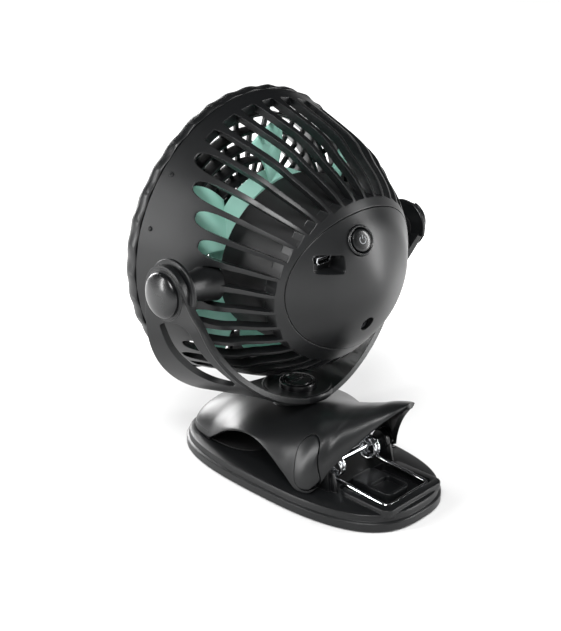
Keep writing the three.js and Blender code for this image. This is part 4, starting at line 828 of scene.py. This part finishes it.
def power_mark():
    """A generic power sign: three quarters of a ring and a bar."""
    turns = [math.radians(40 + 280 * k / 28) for k in range(29)]
    ring = [Vector((1.5 * math.sin(turn), 1.12, 1.5 * math.cos(turn))) for turn in turns]
    bar = [Vector((0, 1.16, z)) for z in (0.5, 1.2, 2.0)]
    return together(tube(ring, MARK_LINE, 8), tube(bar, MARK_LINE, 8))


def rim_shape():
    """The scalloped rim: a soft outline spun, then waved about the axis."""
    s = settings()
    back, face = SEAM_Y - FIT_GAP, GRILLE_FACE
    corner = arc(0.8, HALF_TURN, 1.5 * HALF_TURN, 5, GRILLE_INNER + 0.8, face + 0.8)[1:]
    outline = [
        (GRILLE_INNER, face + 0.8), *corner, (GRILLE_RIM - 2.6, face), (GRILLE_RIM - 1.5, face + 0.7),
        (GRILLE_RIM - 0.6, face + 2), (GRILLE_RIM, face + 3.8), (GRILLE_RIM, back - 0.6),
        (GRILLE_RIM - 0.4, back), (GRILLE_INNER, back),
    ]
    bm = lathe(outline, "Y", s.slot_count * 10, closed=True)
    for vert in bm.verts:
        radius = math.hypot(vert.co.x, vert.co.z)
        angle = math.atan2(vert.co.z, vert.co.x)
        share = max(0.0, (radius - GRILLE_INNER - 1.5) / (GRILLE_RIM - GRILLE_INNER - 1.5))
        wave = math.cos(s.slot_count * angle)
        grown = (radius - s.scallop * wave * share) / radius
        vert.co.x *= grown
        vert.co.z *= grown
    return bm


def grille_shape():
    s = settings()
    face, half = GRILLE_FACE, GRILLE_BAR / 2
    shapes = [rim_shape()]
    section = superellipse(RING_WIDTH / 2, RING_DEPTH / 2, 4, 16)
    for radius in GRILLE_RINGS:
        outline = [(radius + x, face + RING_DEPTH / 2 + y) for x, y in section]
        shapes.append(lathe(outline, "Y", closed=True))
    section = [(x, y + face + half) for x, y in superellipse(1.15, half, 3, 12)]
    for i in range(s.slot_count):
        bar = prism(section, "Z", GRILLE_DISC - 1, GRILLE_INNER + 1)
        shapes.append(placed(bar, Matrix.Rotation(FULL_TURN * i / s.slot_count, 4, "Y")))
    disc = [
        (0, face - 0.2), (10, face), (17, face + 0.3), (GRILLE_DISC, face + 0.9), (GRILLE_DISC + 0.3, face + 1.6),
        (GRILLE_DISC, face + GRILLE_BAR), (0, face + GRILLE_BAR),
    ]
    outer, end = SEAM_RADIUS - CAP_WALL - FIT_GAP, SEAM_Y + 3
    inner = outer - SPIGOT_WALL
    spigot = [(inner, face + 5), (outer, face + 5), (outer, SEAM_Y - FIT_GAP), (outer - 1.6, end), (inner, end)]
    return together(*shapes, lathe(disc, "Y"), lathe(spigot, "Y", closed=True))


def blade_shape(front_angle):
    """A blade swept round from its front edge to its rear one, a little cupped."""

    def spot(u, v):
        radius = HUB_RADIUS - 1 + (BLADE_TIP - HUB_RADIUS + 1) * u
        rounding = 0.5 - math.sqrt(max(0.0, 0.25 - (max(0.0, u - 0.72) / 0.28) ** 3 * 0.06))
        share = rounding + (1 - 2 * rounding) * v
        angle = math.radians(front_angle - BLADE_SWEEP * share - 7 * u * u)
        cup = 1.4 * math.sin(HALF_TURN * v)
        y = BLADE_FRONT_Y + (BLADE_REAR_Y - BLADE_FRONT_Y) * share + cup
        return Vector((radius * math.cos(angle), y, radius * math.sin(angle)))

    return soften(thicken(sheet_of(16, 16, spot), 1.4), 0.4, 60, 2)


def wheel_shape():
    s = settings()
    front, wall = BLADE_FRONT_Y - 1.5, HUB_RADIUS - HUB_WALL
    crown = [(0, front), (HUB_RADIUS * 0.6, front + 1), (HUB_RADIUS * 0.9, front + 4.2), (HUB_RADIUS, front + 8.5)]
    outer = smooth_line(crown, 6)[:-1] + [(HUB_RADIUS, front + 8.5), (HUB_RADIUS, BLADE_REAR_Y)]
    inner = [(wall, BLADE_REAR_Y), (wall, front + 9), (HUB_RADIUS * 0.87, front + 5.4), (0, front + 1.6)]
    bore = [(1.5, front + 1), (4, front + 1), (4, BLADE_REAR_Y - 1), (1.5, BLADE_REAR_Y - 1)]
    blades = [blade_shape(BLADE_FIRST - 360 * i / s.blade_count) for i in range(s.blade_count)]
    return together(lathe(outer + inner, "Y"), lathe(bore, "Y", 48, closed=True), *blades)


# ------------------------------------------------------------------ yoke

def band_edge(edge, angle):
    width, drop, power = edge
    c, s = abs(math.cos(angle)), abs(math.sin(angle))
    return math.copysign(width * c ** (2 / power), math.cos(angle)), -drop * s ** (2 / power)


def band_y(places, angle):
    share = 1 - abs(angle / (HALF_TURN / 2) - 1)
    return along([(i / (len(places) - 1), y) for i, y in enumerate(places)], share)


def band_spot(angle, share):
    fx, fz = band_edge(BAND_FRONT, angle)
    rx, rz = band_edge(BAND_REAR, angle)
    y0, y1 = band_y(BAND_FRONT_Y, angle), band_y(BAND_REAR_Y, angle)
    return Vector((fx + (rx - fx) * share, y0 + (y1 - y0) * share, fz + (rz - fz) * share))


def opening_shape(side):
    """Cuts an arm's window square to the arm's slant."""
    outline = []
    for y, degrees in OPENING_EDGE:
        angle = math.radians(degrees)
        y0, y1 = band_y(BAND_FRONT_Y, angle), band_y(BAND_REAR_Y, angle)
        spot = band_spot(angle, (y - y0) / (y1 - y0))
        outline.append((y, spot.x * math.sin(OPENING_SLANT) + spot.z * math.cos(OPENING_SLANT)))
    line = smooth_line(outline, 5, closed=True)
    tool = placed(prism(line, "X", 34, 120), Matrix.Rotation(OPENING_SLANT, 4, "Y"))
    return tool if side > 0 else mirrored(tool)


def disc_shape(side):
    """The round plate behind an arm's end, cut off below where the arm takes over."""
    r, start, end = DISC_RADIUS, DISC_START, DISC_START + DISC_THICKNESS
    outline = [
        (0, start), (r - 0.3, start), (r, start + 0.3), (r, end - 0.5), (r - 0.15, end - 0.15), (r - 0.5, end), (0, end),
    ]
    below = prism([(-30, -30), (30, -30), (30, DISC_CUT_Z), (-30, DISC_CUT_Z)], "X", -120, 120)
    return carved(side_lathe(outline, side, 96), ("DIFFERENCE", below))


def yoke_rows():
    """Front and rear points of the yoke's skin, from one arm's top round to the other's."""
    front = space_line((*ARM_FRONT, band_spot(ARM_JOIN, 0)), 3)
    rear = space_line((*ARM_REAR, band_spot(ARM_JOIN, 1)), 3)
    rear[0] = rear[0] + Vector((0, 0.02, 0))
    arm = list(zip(front, rear))
    angles = [ARM_JOIN + (HALF_TURN - 2 * ARM_JOIN) * k / BAND_STEPS for k in range(1, BAND_STEPS)]
    band = [(band_spot(angle, 0), band_spot(angle, 1)) for angle in angles]
    far = [tuple(Vector((-p.x, p.y, p.z)) for p in row) for row in reversed(arm)]
    return arm + band + far


def lip_shape(rows):
    """A fine raised bead along the band's rear edge, ending short of the arms' tops."""
    return tube([front.lerp(rear, 0.965) for front, rear in rows[4:-4]], LIP_RADIUS, 12)


def dish_shape():
    """The round seat in the middle of the band."""
    r, under = DISH_RADIUS, -BAND_FRONT[1]
    floor, rim = under + DISH_FLOOR, under + DISH_RIM
    outline = [
        (0, under), (r - 1.4, under), (r - 0.4, under + 0.5), (r, under + 1.4), (r, rim - 0.8), (r - 0.3, rim - 0.2),
        (r - 0.9, rim), (r - 1.5, rim - 0.2), (r - 2, rim - 0.8), (r - 3.2, floor + 0.3), (r - 4.4, floor), (0, floor),
    ]
    return lathe(outline, "Z", 96)


def yoke_shape():
    rows = yoke_rows()
    last = len(rows) - 1

    def spot(u, v):
        front, rear = rows[round(u * last)]
        return front.lerp(rear, v)

    band = sheet_of(last, 18, spot)
    thicken(band, BAND_THICKNESS, lambda face: face.normal.x * face.calc_center_median().x)
    band = carved(band, ("DIFFERENCE", opening_shape(1)), ("DIFFERENCE", opening_shape(-1)))
    return together(band, dish_shape(), disc_shape(1), disc_shape(-1), lip_shape(rows))


def trim_shape(side):
    """The stepped ring between an arm and its cap."""
    outline = [(TRIM_BORE, TRIM_START)]
    for i, radius in enumerate(TRIM_RADII):
        low, high = TRIM_START + i * TRIM_STEP, TRIM_START + (i + 1) * TRIM_STEP
        outline += [(radius, low), (radius, high - 0.15), (radius - 0.15, high)]
    outline.append((TRIM_BORE, PIVOT_CAP_START))
    return side_lathe(outline, side, 72, closed=True)


def pivot_cap_shape(side):
    """The domed cap on a pivot's end."""
    r, start, edge = PIVOT_CAP_RADIUS, PIVOT_CAP_START, PIVOT_CAP_START + 0.7
    outline = [(0, start + 0.5), (r - 1.2, start), (r - 0.2, start)]
    for k in range(1, 15):
        turn = HALF_TURN / 2 * k / 14
        outline.append((r * math.cos(turn), edge + (PIVOT_CAP_HEIGHT - 0.7) * math.sin(turn)))
    outline[-1] = (0, outline[-1][1])
    return side_lathe(outline, side, 72)


def swivel_cap_shape():
    start = -BAND_FRONT[1] + DISH_FLOOR + FIT_GAP
    end = start + SWIVEL_CAP_HEIGHT
    r = SWIVEL_CAP_RADIUS
    outline = [
        (0, start), (r, start), (r, end - 0.8), (r - 0.2, end - 0.3), (r - 0.7, end), (r - 1.6, end),
        (r - 1.8, end - 0.4), (r - 2.3, end - 0.4), (r - 2.5, end), (0, end),
    ]
    slot = prism(rounded_rectangle(-4.6, 4.6, -0.7, 0.7, 0.6), "Z", end - 0.8, end + 1)
    return carved(lathe(outline, "Z", 72), ("DIFFERENCE", slot))


# ------------------------------------------------------------------ clip

def arch_spot(share, y, inset=0.0):
    """A point of the jaw's arch: share 0 at its +X foot, 1 at its -X foot."""
    half_width = along(JAW_HALF_WIDTHS, y) - inset
    low = along(JAW_LOWER_EDGE, y)
    high = along(JAW_CROWN, y) - inset
    power = along(JAW_ROUNDNESS, y)
    angle = HALF_TURN * share
    c, s = math.cos(angle), abs(math.sin(angle))
    x = math.copysign(half_width * abs(c) ** (2 / power), c)
    return Vector((x, y, low + (high - low) * s ** (2 / power)))


def eased(share):
    """Spreads stations towards the feet of the arch, where a superellipse turns fastest."""
    return share - math.sin(2 * FULL_TURN * share) / (4 * FULL_TURN) * 1.2


def jaw_skin():
    """The jaw's arched wall, cut through for the hinge covers."""
    shell = sheet_of(64, 120, lambda u, v: arch_spot(eased(u), JAW_FRONT + (JAW_REAR - JAW_FRONT) * v))
    thicken(shell, JAW_WALL, lambda face: face.normal.z)
    holes = [prism(cover_outline(COVER_GAP), "X", low, high) for low, high in ((14, 50), (-50, -14))]
    return carved(shell, *(("DIFFERENCE", hole) for hole in holes))


def jaw_sole():
    """The flat plate under the jaw's nose, which holds its pad."""

    def spot(u, v):
        y = JAW_FRONT + (NOSE_REAR - JAW_FRONT) * v
        half = along(JAW_HALF_WIDTHS, y) - 0.3
        return Vector((half * (2 * u - 1), y, NOSE_Z))

    plate = sheet_of(12, 24, spot)
    bmesh.ops.recalc_face_normals(plate, faces=plate.faces)
    return extruded(plate, plate.faces[:], (0, 0, JAW_WALL))


def jaw_shape():
    face = [(p.x, p.z) for p in (arch_spot(k / 32, JAW_FRONT) for k in range(33))]
    nose = prism(face, "Y", JAW_FRONT - 0.05, JAW_FRONT + 2)
    rings = [placed(side_lathe(HINGE_RING, side, 48, True), Matrix.Translation(HINGE)) for side in (1, -1)]
    return together(jaw_skin(), jaw_sole(), nose, neck_shape(), *rings)


def neck_shape():
    crown = along(JAW_CROWN, PIVOT.y)
    r, top = NECK_RADIUS, PIVOT.z - BAND_FRONT[1] - FIT_GAP
    outline = [
        (0, crown - 6), (5, crown - 6), (5, crown - 2.5), (r + 2.2, crown - 1.6), (r + 1, crown - 0.4),
        (r + 0.2, crown + 0.4), (r, crown + 1), (r, top - 0.4), (r - 0.4, top), (0, top),
    ]
    return placed(lathe(outline, "Z", 72), Matrix.Translation((0, PIVOT.y, 0)))


def cover_outline(margin):
    y, z, width, length, lean = COVER
    half = width / 2 + margin
    straight = (length - width) / 2
    turn = Matrix.Rotation(lean, 2)
    top, low = turn @ Vector((0, straight)), turn @ Vector((0, -straight))
    return (
        arc(half, lean, lean + HALF_TURN, 20, y + top.x, z + top.y)
        + arc(half, lean + HALF_TURN, lean + FULL_TURN, 20, y + low.x, z + low.y)
    )


def cover_shape(side):
    """The oval hinge cover: the jaw's own skin inside its outline, a hair proud."""
    skin = sheet_of(90, 90, lambda u, v: arch_spot(0.02 + 0.44 * u, 10 + 30 * v, -COVER_PROUD))
    thicken(skin, COVER_THICKNESS, lambda face: face.normal.x)
    cover = carved(skin, ("INTERSECT", prism(cover_outline(0), "X", 16, 50)))
    return cover if side > 0 else mirrored(cover)


def pad_block(margin, low, high):
    """A block with the base pad's outline, grown by a margin."""
    outline = superellipse(PAD_HALF + margin, PAD_HALF + margin, 3, 96)
    return prism([(x, y + PAD_Y) for x, y in outline], "Z", low, high)


def base_slab():
    """The base's oval slab, laid up ring by ring from its underside."""
    bm = bmesh.new()
    ring = bmesh.ops.create_circle(bm, cap_ends=False, segments=160, radius=1)["verts"]
    half_x, half_y, power = BASE_HALF

    def lay(verts, z, inset):
        for vert, (x, y) in zip(verts, superellipse(half_x - inset, half_y - inset, power, len(verts))):
            vert.co = (x, y, z)

    lay(ring, *BASE_RIM[0])
    edges = list(bm.faces.new(ring).edges)
    for z, inset in BASE_RIM[1:]:
        grown = bmesh.ops.extrude_edge_only(bm, edges=edges)["geom"]
        edges = [e for e in grown if isinstance(e, bmesh.types.BMEdge)]
        verts = {v for e in edges for v in e.verts}
        order = sorted(verts, key=lambda v: math.atan2(v.co.y / half_y, v.co.x / half_x) % FULL_TURN)
        lay(order, z, inset)
    bm.faces.new(order)
    bmesh.ops.recalc_face_normals(bm, faces=bm.faces)
    return bm


def base_shape():
    half, start, end, top, wall, floor = TRAY
    tray = soften(prism(rounded_rectangle(-half, half, start, end, 4), "Z", BASE_HEIGHT - 2, top), 0.6)
    wide, near, far, height = ISLAND
    channel = prism(rounded_rectangle(wall - half, half - wall, near, end - wall, 2.5), "Z", floor, top + 3)
    plate = carved(
        base_slab(),
        ("DIFFERENCE", pad_block(FIT_GAP, BASE_HEIGHT - 1.5, BASE_HEIGHT + 2)),
        ("UNION", tray),
        ("DIFFERENCE", channel),
    )
    island = soften(prism(rounded_rectangle(-wide, wide, near, far, 3), "Z", floor - 1, height), 0.6)
    pocket = rounded_rectangle(1.4 - wide, wide - 1.4, 42, far - 1.4, 2)
    island = carved(island, ("DIFFERENCE", prism(pocket, "Z", height - 2.2, height + 2)))
    return together(plate, island, lug_shape(1), lug_shape(-1))


def lug_shape(side):
    """A lug that holds the hinge pin, with the small fin behind it."""
    low, y, z = BASE_HEIGHT - 1, HINGE.y, HINGE.z
    foot = [(y - 7, low), (y + 5.5, low), *arc(LUG_RADIUS, 0, HALF_TURN, 20, y, z)]
    fin = [(y + 3, low), (y + 8.8, low), (y + 6.2, z - 1), (y + 5.6, z - 0.6), (y + 5.1, z - 1), (y + 4.4, z - 5)]
    lug = soften(prism(foot, "X", LUG_INNER, LUG_INNER + LUG_THICKNESS), 0.4)
    both = together(lug, soften(prism(fin, "X", LUG_INNER + 0.1, LUG_INNER + 1.5), 0.3))
    return both if side > 0 else mirrored(both)


def wire_line():
    """Right half of the spring's middle line, from the leg's end to the loop's corner."""
    hinge_y, centre_z = HINGE.y, HINGE.z + PIN_RADIUS + FIT_GAP + WIRE_RADIUS - COIL_RADIUS
    loop_y, loop_z = LOOP_END
    leg_angle = LEG_ANGLE + HALF_TURN / 2
    away = math.atan2(centre_z - loop_z, loop_y - hinge_y)
    chord = math.hypot(centre_z - loop_z, loop_y - hinge_y)
    loop_angle = 1.5 * HALF_TURN - away + math.asin(COIL_RADIUS / chord)
    turn = loop_angle - leg_angle + FULL_TURN * COIL_TURNS

    def on_coil(angle, x):
        return Vector((x, hinge_y + COIL_RADIUS * math.cos(angle), centre_z + COIL_RADIUS * math.sin(angle)))

    def x_at(share):
        return LOOP_HALF_WIDTH - COIL_PITCH * turn / FULL_TURN * share

    leg_start = on_coil(leg_angle, x_at(1))
    leg_way = Vector((0, math.cos(LEG_ANGLE), math.sin(LEG_ANGLE)))
    points = [leg_start + leg_way * LEG_LENGTH * k / 8 for k in range(8, 0, -1)]
    steps = round(turn / FULL_TURN * 32)
    points += [on_coil(leg_angle + turn * i / steps, x_at(1 - i / steps)) for i in range(steps + 1)]
    tail = points[-1]
    corner = Vector((LOOP_HALF_WIDTH, loop_y, loop_z))
    slope = (tail - corner).normalized()
    bend = 2.5
    points += [tail.lerp(corner + slope * bend, k / 10) for k in range(1, 11)]
    for k in range(1, 9):
        turned = HALF_TURN / 2 * k / 8
        points.append(corner + slope * bend * (1 - math.sin(turned)) + Vector((-bend * (1 - math.cos(turned)), 0, 0)))
    return points


def spring_shape():
    right = wire_line()
    left = [Vector((-p.x, p.y, p.z)) for p in reversed(right)]
    middle = [right[-1].lerp(left[0], k / 8) for k in range(1, 8)]
    return tube(right + middle + left, WIRE_RADIUS, 12)


def nose_pad_shape():
    front, rear = JAW_FRONT + 1.2, NOSE_REAR - 1
    top = NOSE_Z - FIT_GAP
    places = [front + (rear - front) * k / 16 for k in range(17)]
    right = [(along(JAW_HALF_WIDTHS, y) - 1.4, y) for y in places]
    outline = right + [(-x, y) for x, y in reversed(right)]
    return soften(prism(outline, "Z", top - NOSE_PAD, top), 0.4, 50)


def pin_shape():
    """The hinge pin, with its ends eased."""
    r, end = PIN_RADIUS, PIN_HALF_LENGTH
    outline = [(0, -end), (r - 0.3, -end), (r, 0.3 - end), (r, end - 0.3), (r - 0.3, end), (0, end)]
    return lathe(outline, "X", 32)


# ------------------------------------------------------------------ operators

class CLIPFAN_OT_materials(bpy.types.Operator):
    """Makes the materials and gives them to the nodes that stay"""

    bl_idname = "clipfan.materials"
    bl_label = "Materials"

    def execute(self, context):
        MATERIALS.update(make_materials())
        dress_carried()
        return {"FINISHED"}


class CLIPFAN_OT_housing(bpy.types.Operator):
    """Slotted dome with its pod wall and pivot bosses"""

    bl_idname = "clipfan.housing"
    bl_label = "Rear housing"

    def execute(self, context):
        finished(housing_shape(), "housing_shell", "head", "shell", "rear_housing", at=AT_HEAD)
        finished(pod_shape(), "pod_wall", "head", "inner", at=AT_HEAD, slot="black_plastic")
        for i, pip in enumerate(pip_shapes()):
            finished(pip, f"housing_pip_{i + 1}", "head", "shell", at=AT_HEAD)
        return {"FINISHED"}


class CLIPFAN_OT_rear_cap(bpy.types.Operator):
    """Oval rear cap with its button, bezel and charging recess"""

    bl_idname = "clipfan.rear_cap"
    bl_label = "Rear cap"

    def execute(self, context):
        at_button = AT_HEAD @ button_frame()
        finished(cap_shape(), "cap_shell", "head", "shell", "rear_cap", at=AT_HEAD)
        finished(socket_shape(), "socket_shell", "head", "wire", "usb_socket", at=AT_HEAD)
        finished(tongue_shape(), "socket_tongue", "head", "inner", "usb_tongue", at=AT_HEAD)
        finished(bezel_shape(), "button_ring", "head", "gloss", "button_bezel", at=at_button)
        finished(button_shape(), "button_top", "button", "gloss", "power_button", at=at_button)
        finished(power_mark(), "power_mark", "button", "mark", at=at_button)
        return {"FINISHED"}


class CLIPFAN_OT_grille(bpy.types.Operator):
    """Front grille with its scalloped rim"""

    bl_idname = "clipfan.grille"
    bl_label = "Front grille"

    def execute(self, context):
        finished(grille_shape(), "grille_cage", "head", "shell", "front_grille", at=AT_HEAD)
        return {"FINISHED"}


class CLIPFAN_OT_fan_wheel(bpy.types.Operator):
    """Fan wheel with its hub and blades"""

    bl_idname = "clipfan.fan_wheel"
    bl_label = "Fan wheel"

    def execute(self, context):
        finished(wheel_shape(), "wheel_moulding", "fan_wheel", "wheel", "impeller", at=AT_HEAD)
        return {"FINISHED"}


class CLIPFAN_OT_yoke(bpy.types.Operator):
    """Yoke band, pivot caps and rings, and swivel cap"""

    bl_idname = "clipfan.yoke"
    bl_label = "Yoke"

    def execute(self, context):
        finished(yoke_shape(), "yoke_band", "yoke", "shell", "yoke", at=AT_PIVOT)
        finished(swivel_cap_shape(), "swivel_cover", "yoke", "gloss", "swivel_cap", at=AT_PIVOT)
        for name, side in SIDES:
            finished(trim_shape(side), f"pivot_ring_{name}", "yoke", "shell", f"pivot_trim_{name}", at=AT_PIVOT)
            finished(pivot_cap_shape(side), f"pivot_dome_{name}", "yoke", "gloss", f"pivot_cap_{name}", at=AT_PIVOT)
        return {"FINISHED"}


class CLIPFAN_OT_jaw(bpy.types.Operator):
    """Upper jaw with its hinge covers and pad"""

    bl_idname = "clipfan.jaw"
    bl_label = "Upper jaw"

    def execute(self, context):
        finished(jaw_shape(), "jaw_shell", "upper_jaw", "shell", "top_jaw")
        finished(nose_pad_shape(), "jaw_pad", "upper_jaw", "rubber", "nose_pad")
        for name, side in SIDES:
            finished(cover_shape(side), f"hinge_oval_{name}", "upper_jaw", "shell", f"hinge_cover_{name}")
        return {"FINISHED"}


class CLIPFAN_OT_base(bpy.types.Operator):
    """Clip base with its tray, lugs, pad and hinge pin"""

    bl_idname = "clipfan.base"
    bl_label = "Clip base"

    def execute(self, context):
        pad = soften(pad_block(0, BASE_HEIGHT - PAD_RECESS, BASE_HEIGHT + 0.2), 0.15, 60, 1)
        finished(base_shape(), "base_moulding", "base", "shell", "base_plate")
        finished(pad, "base_grip", "base", "rubber", "base_pad")
        finished(pin_shape(), "hinge_rod", "base", "wire", "hinge_pin", at=Matrix.Translation(HINGE))
        return {"FINISHED"}


class CLIPFAN_OT_spring(bpy.types.Operator):
    """The wound wire spring, baked where it is built and riding on no body"""

    bl_idname = "clipfan.spring"
    bl_label = "Spring"

    def execute(self, context):
        spring = finished(spring_shape(), "spring_wire", None, "wire", "torsion_spring")
        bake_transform(spring)
        return {"FINISHED"}


class CLIPFAN_OT_stage(bpy.types.Operator):
    """Floor, soft lights and the camera"""

    bl_idname = "clipfan.stage"
    bl_label = "Stage"

    def execute(self, context):
        make_floor()
        make_world()
        make_lights()
        make_camera()
        return {"FINISHED"}


def seen_or_mirrored(tree):
    """1 for camera, glossy and transmission rays, 0 for the others."""
    rays = add(tree, "ShaderNodeLightPath").outputs
    either = rays["Is Camera Ray"]
    for kind in ("Is Glossy Ray", "Is Transmission Ray"):
        either = add(tree, "ShaderNodeMath", [(0, either), (1, rays[kind])], operation="MAXIMUM").outputs["Value"]
    return either


def make_floor():
    """A pale floor that holds the object's shadow and turns into the white background around it."""
    bm = bmesh.new()
    bmesh.ops.create_grid(bm, x_segments=1, y_segments=1, size=FLOOR_HALF)
    floor = loose_object(bm, "floor")
    material, tree = blank("pale_floor")
    place = add(tree, "ShaderNodeTexCoord").outputs["Object"]
    distance = add(tree, "ShaderNodeVectorMath", [("Vector", place)], operation="LENGTH").outputs["Value"]
    far = add(
        tree, "ShaderNodeMapRange", [("Value", distance)], interpolation_type="SMOOTHSTEP",
        From_Min=FLOOR_FADE[0], From_Max=FLOOR_FADE[1],
    ).outputs["Result"]
    paint = add(tree, "ShaderNodeBsdfDiffuse", Color=linear("#d4d4d4")).outputs["BSDF"]
    near_and_far = []
    for glow in (linear("#4c4c4c"), WHITE):
        shine = add(tree, "ShaderNodeEmission", [("Strength", seen_or_mirrored(tree))], Color=glow)
        lit = add(tree, "ShaderNodeAddShader", [(0, paint), (1, shine.outputs["Emission"])])
        near_and_far.append(lit.outputs["Shader"])
    ground = add(tree, "ShaderNodeMixShader", [("Fac", far), (1, near_and_far[0]), (2, near_and_far[1])])
    add(tree, "ShaderNodeOutputMaterial", [("Surface", ground.outputs["Shader"])])
    floor.data.materials.append(material)


def make_world():
    """A white backdrop up to head height with a dim ceiling above it."""
    world = bpy.data.worlds.new("studio")
    bpy.context.scene.world = world
    world.use_nodes = True
    tree = world.node_tree
    tree.nodes.clear()
    place = add(tree, "ShaderNodeTexCoord").outputs["Generated"]
    height = add(tree, "ShaderNodeSeparateXYZ", [("Vector", place)]).outputs["Z"]
    backdrop = add(
        tree, "ShaderNodeMapRange", [("Value", height)], interpolation_type="SMOOTHSTEP",
        From_Min=0.05, From_Max=0.32, To_Min=1.0, To_Max=0.02,
    ).outputs["Result"]
    strength = add(
        tree, "ShaderNodeMix", [("Factor", seen_or_mirrored(tree)), ("B", backdrop)], data_type="FLOAT", A=0.3,
    ).outputs["Result"]
    sky = add(tree, "ShaderNodeBackground", [("Strength", strength)], Color=WHITE)
    add(tree, "ShaderNodeOutputWorld", [("Surface", sky.outputs["Background"])])


def make_lights():
    for name, place, width, height, watts in LIGHTS:
        data = bpy.data.lights.new(name, "AREA")
        data.shape = "RECTANGLE"
        data.size = width
        data.size_y = height
        data.energy = watts
        lamp = bpy.data.objects.new(name, data)
        bpy.context.scene.collection.objects.link(lamp)
        lamp.location = place
        lamp.rotation_euler = (Vector(place) - LIGHTS_AIM).to_track_quat("Z", "Y").to_euler()


def make_camera():
    a, e, roll = CAMERA_AZIMUTH, CAMERA_ELEVATION, CAMERA_ROLL
    ahead = Vector((-math.sin(a) * math.cos(e), math.cos(a) * math.cos(e), -math.sin(e)))
    right = Vector((math.cos(a), math.sin(a), 0))
    up = right.cross(ahead)
    rolled_right = right * math.cos(roll) + up * math.sin(roll)
    rolled_up = up * math.cos(roll) - right * math.sin(roll)
    turn = Matrix((rolled_right, rolled_up, -ahead)).transposed().to_4x4()
    data = bpy.data.cameras.new("photo_camera")
    data.lens = CAMERA_LENS
    data.sensor_width = SENSOR_WIDTH
    data.clip_start = CAMERA_NEAR
    camera = bpy.data.objects.new("photo_camera", data)
    camera.matrix_world = Matrix.Translation(CAMERA_SPOT) @ turn
    bpy.context.scene.collection.objects.link(camera)
    bpy.context.scene.camera = camera
    bpy.context.scene.view_settings.view_transform = "Standard"


OPERATORS = (
    CLIPFAN_OT_stage,
    CLIPFAN_OT_materials,
    CLIPFAN_OT_housing,
    CLIPFAN_OT_rear_cap,
    CLIPFAN_OT_grille,
    CLIPFAN_OT_fan_wheel,
    CLIPFAN_OT_yoke,
    CLIPFAN_OT_jaw,
    CLIPFAN_OT_base,
    CLIPFAN_OT_spring,
)


class CLIPFAN_PT_panel(bpy.types.Panel):
    """The sizes and the pieces, in the 3D view's sidebar"""

    bl_label = "Clip fan"
    bl_idname = "CLIPFAN_PT_panel"
    bl_space_type = "VIEW_3D"
    bl_region_type = "UI"
    bl_category = "Clip fan"

    def draw(self, context):
        for name in ClipFanSettings.__annotations__:
            self.layout.prop(context.scene.clip_fan, name)
        for operator in OPERATORS:
            self.layout.operator(operator.bl_idname)


CLASSES = (ClipFanSettings, *OPERATORS, CLIPFAN_PT_panel)


def register():
    for cls in CLASSES:
        bpy.utils.register_class(cls)
    bpy.types.Scene.clip_fan = PointerProperty(type=ClipFanSettings)


def unregister():
    del bpy.types.Scene.clip_fan
    for cls in reversed(CLASSES):
        bpy.utils.unregister_class(cls)


def main():
    register()
    for operator in OPERATORS:
        group, name = operator.bl_idname.split(".")
        getattr(getattr(bpy.ops, group), name)()


if __name__ == "__main__":
    main()
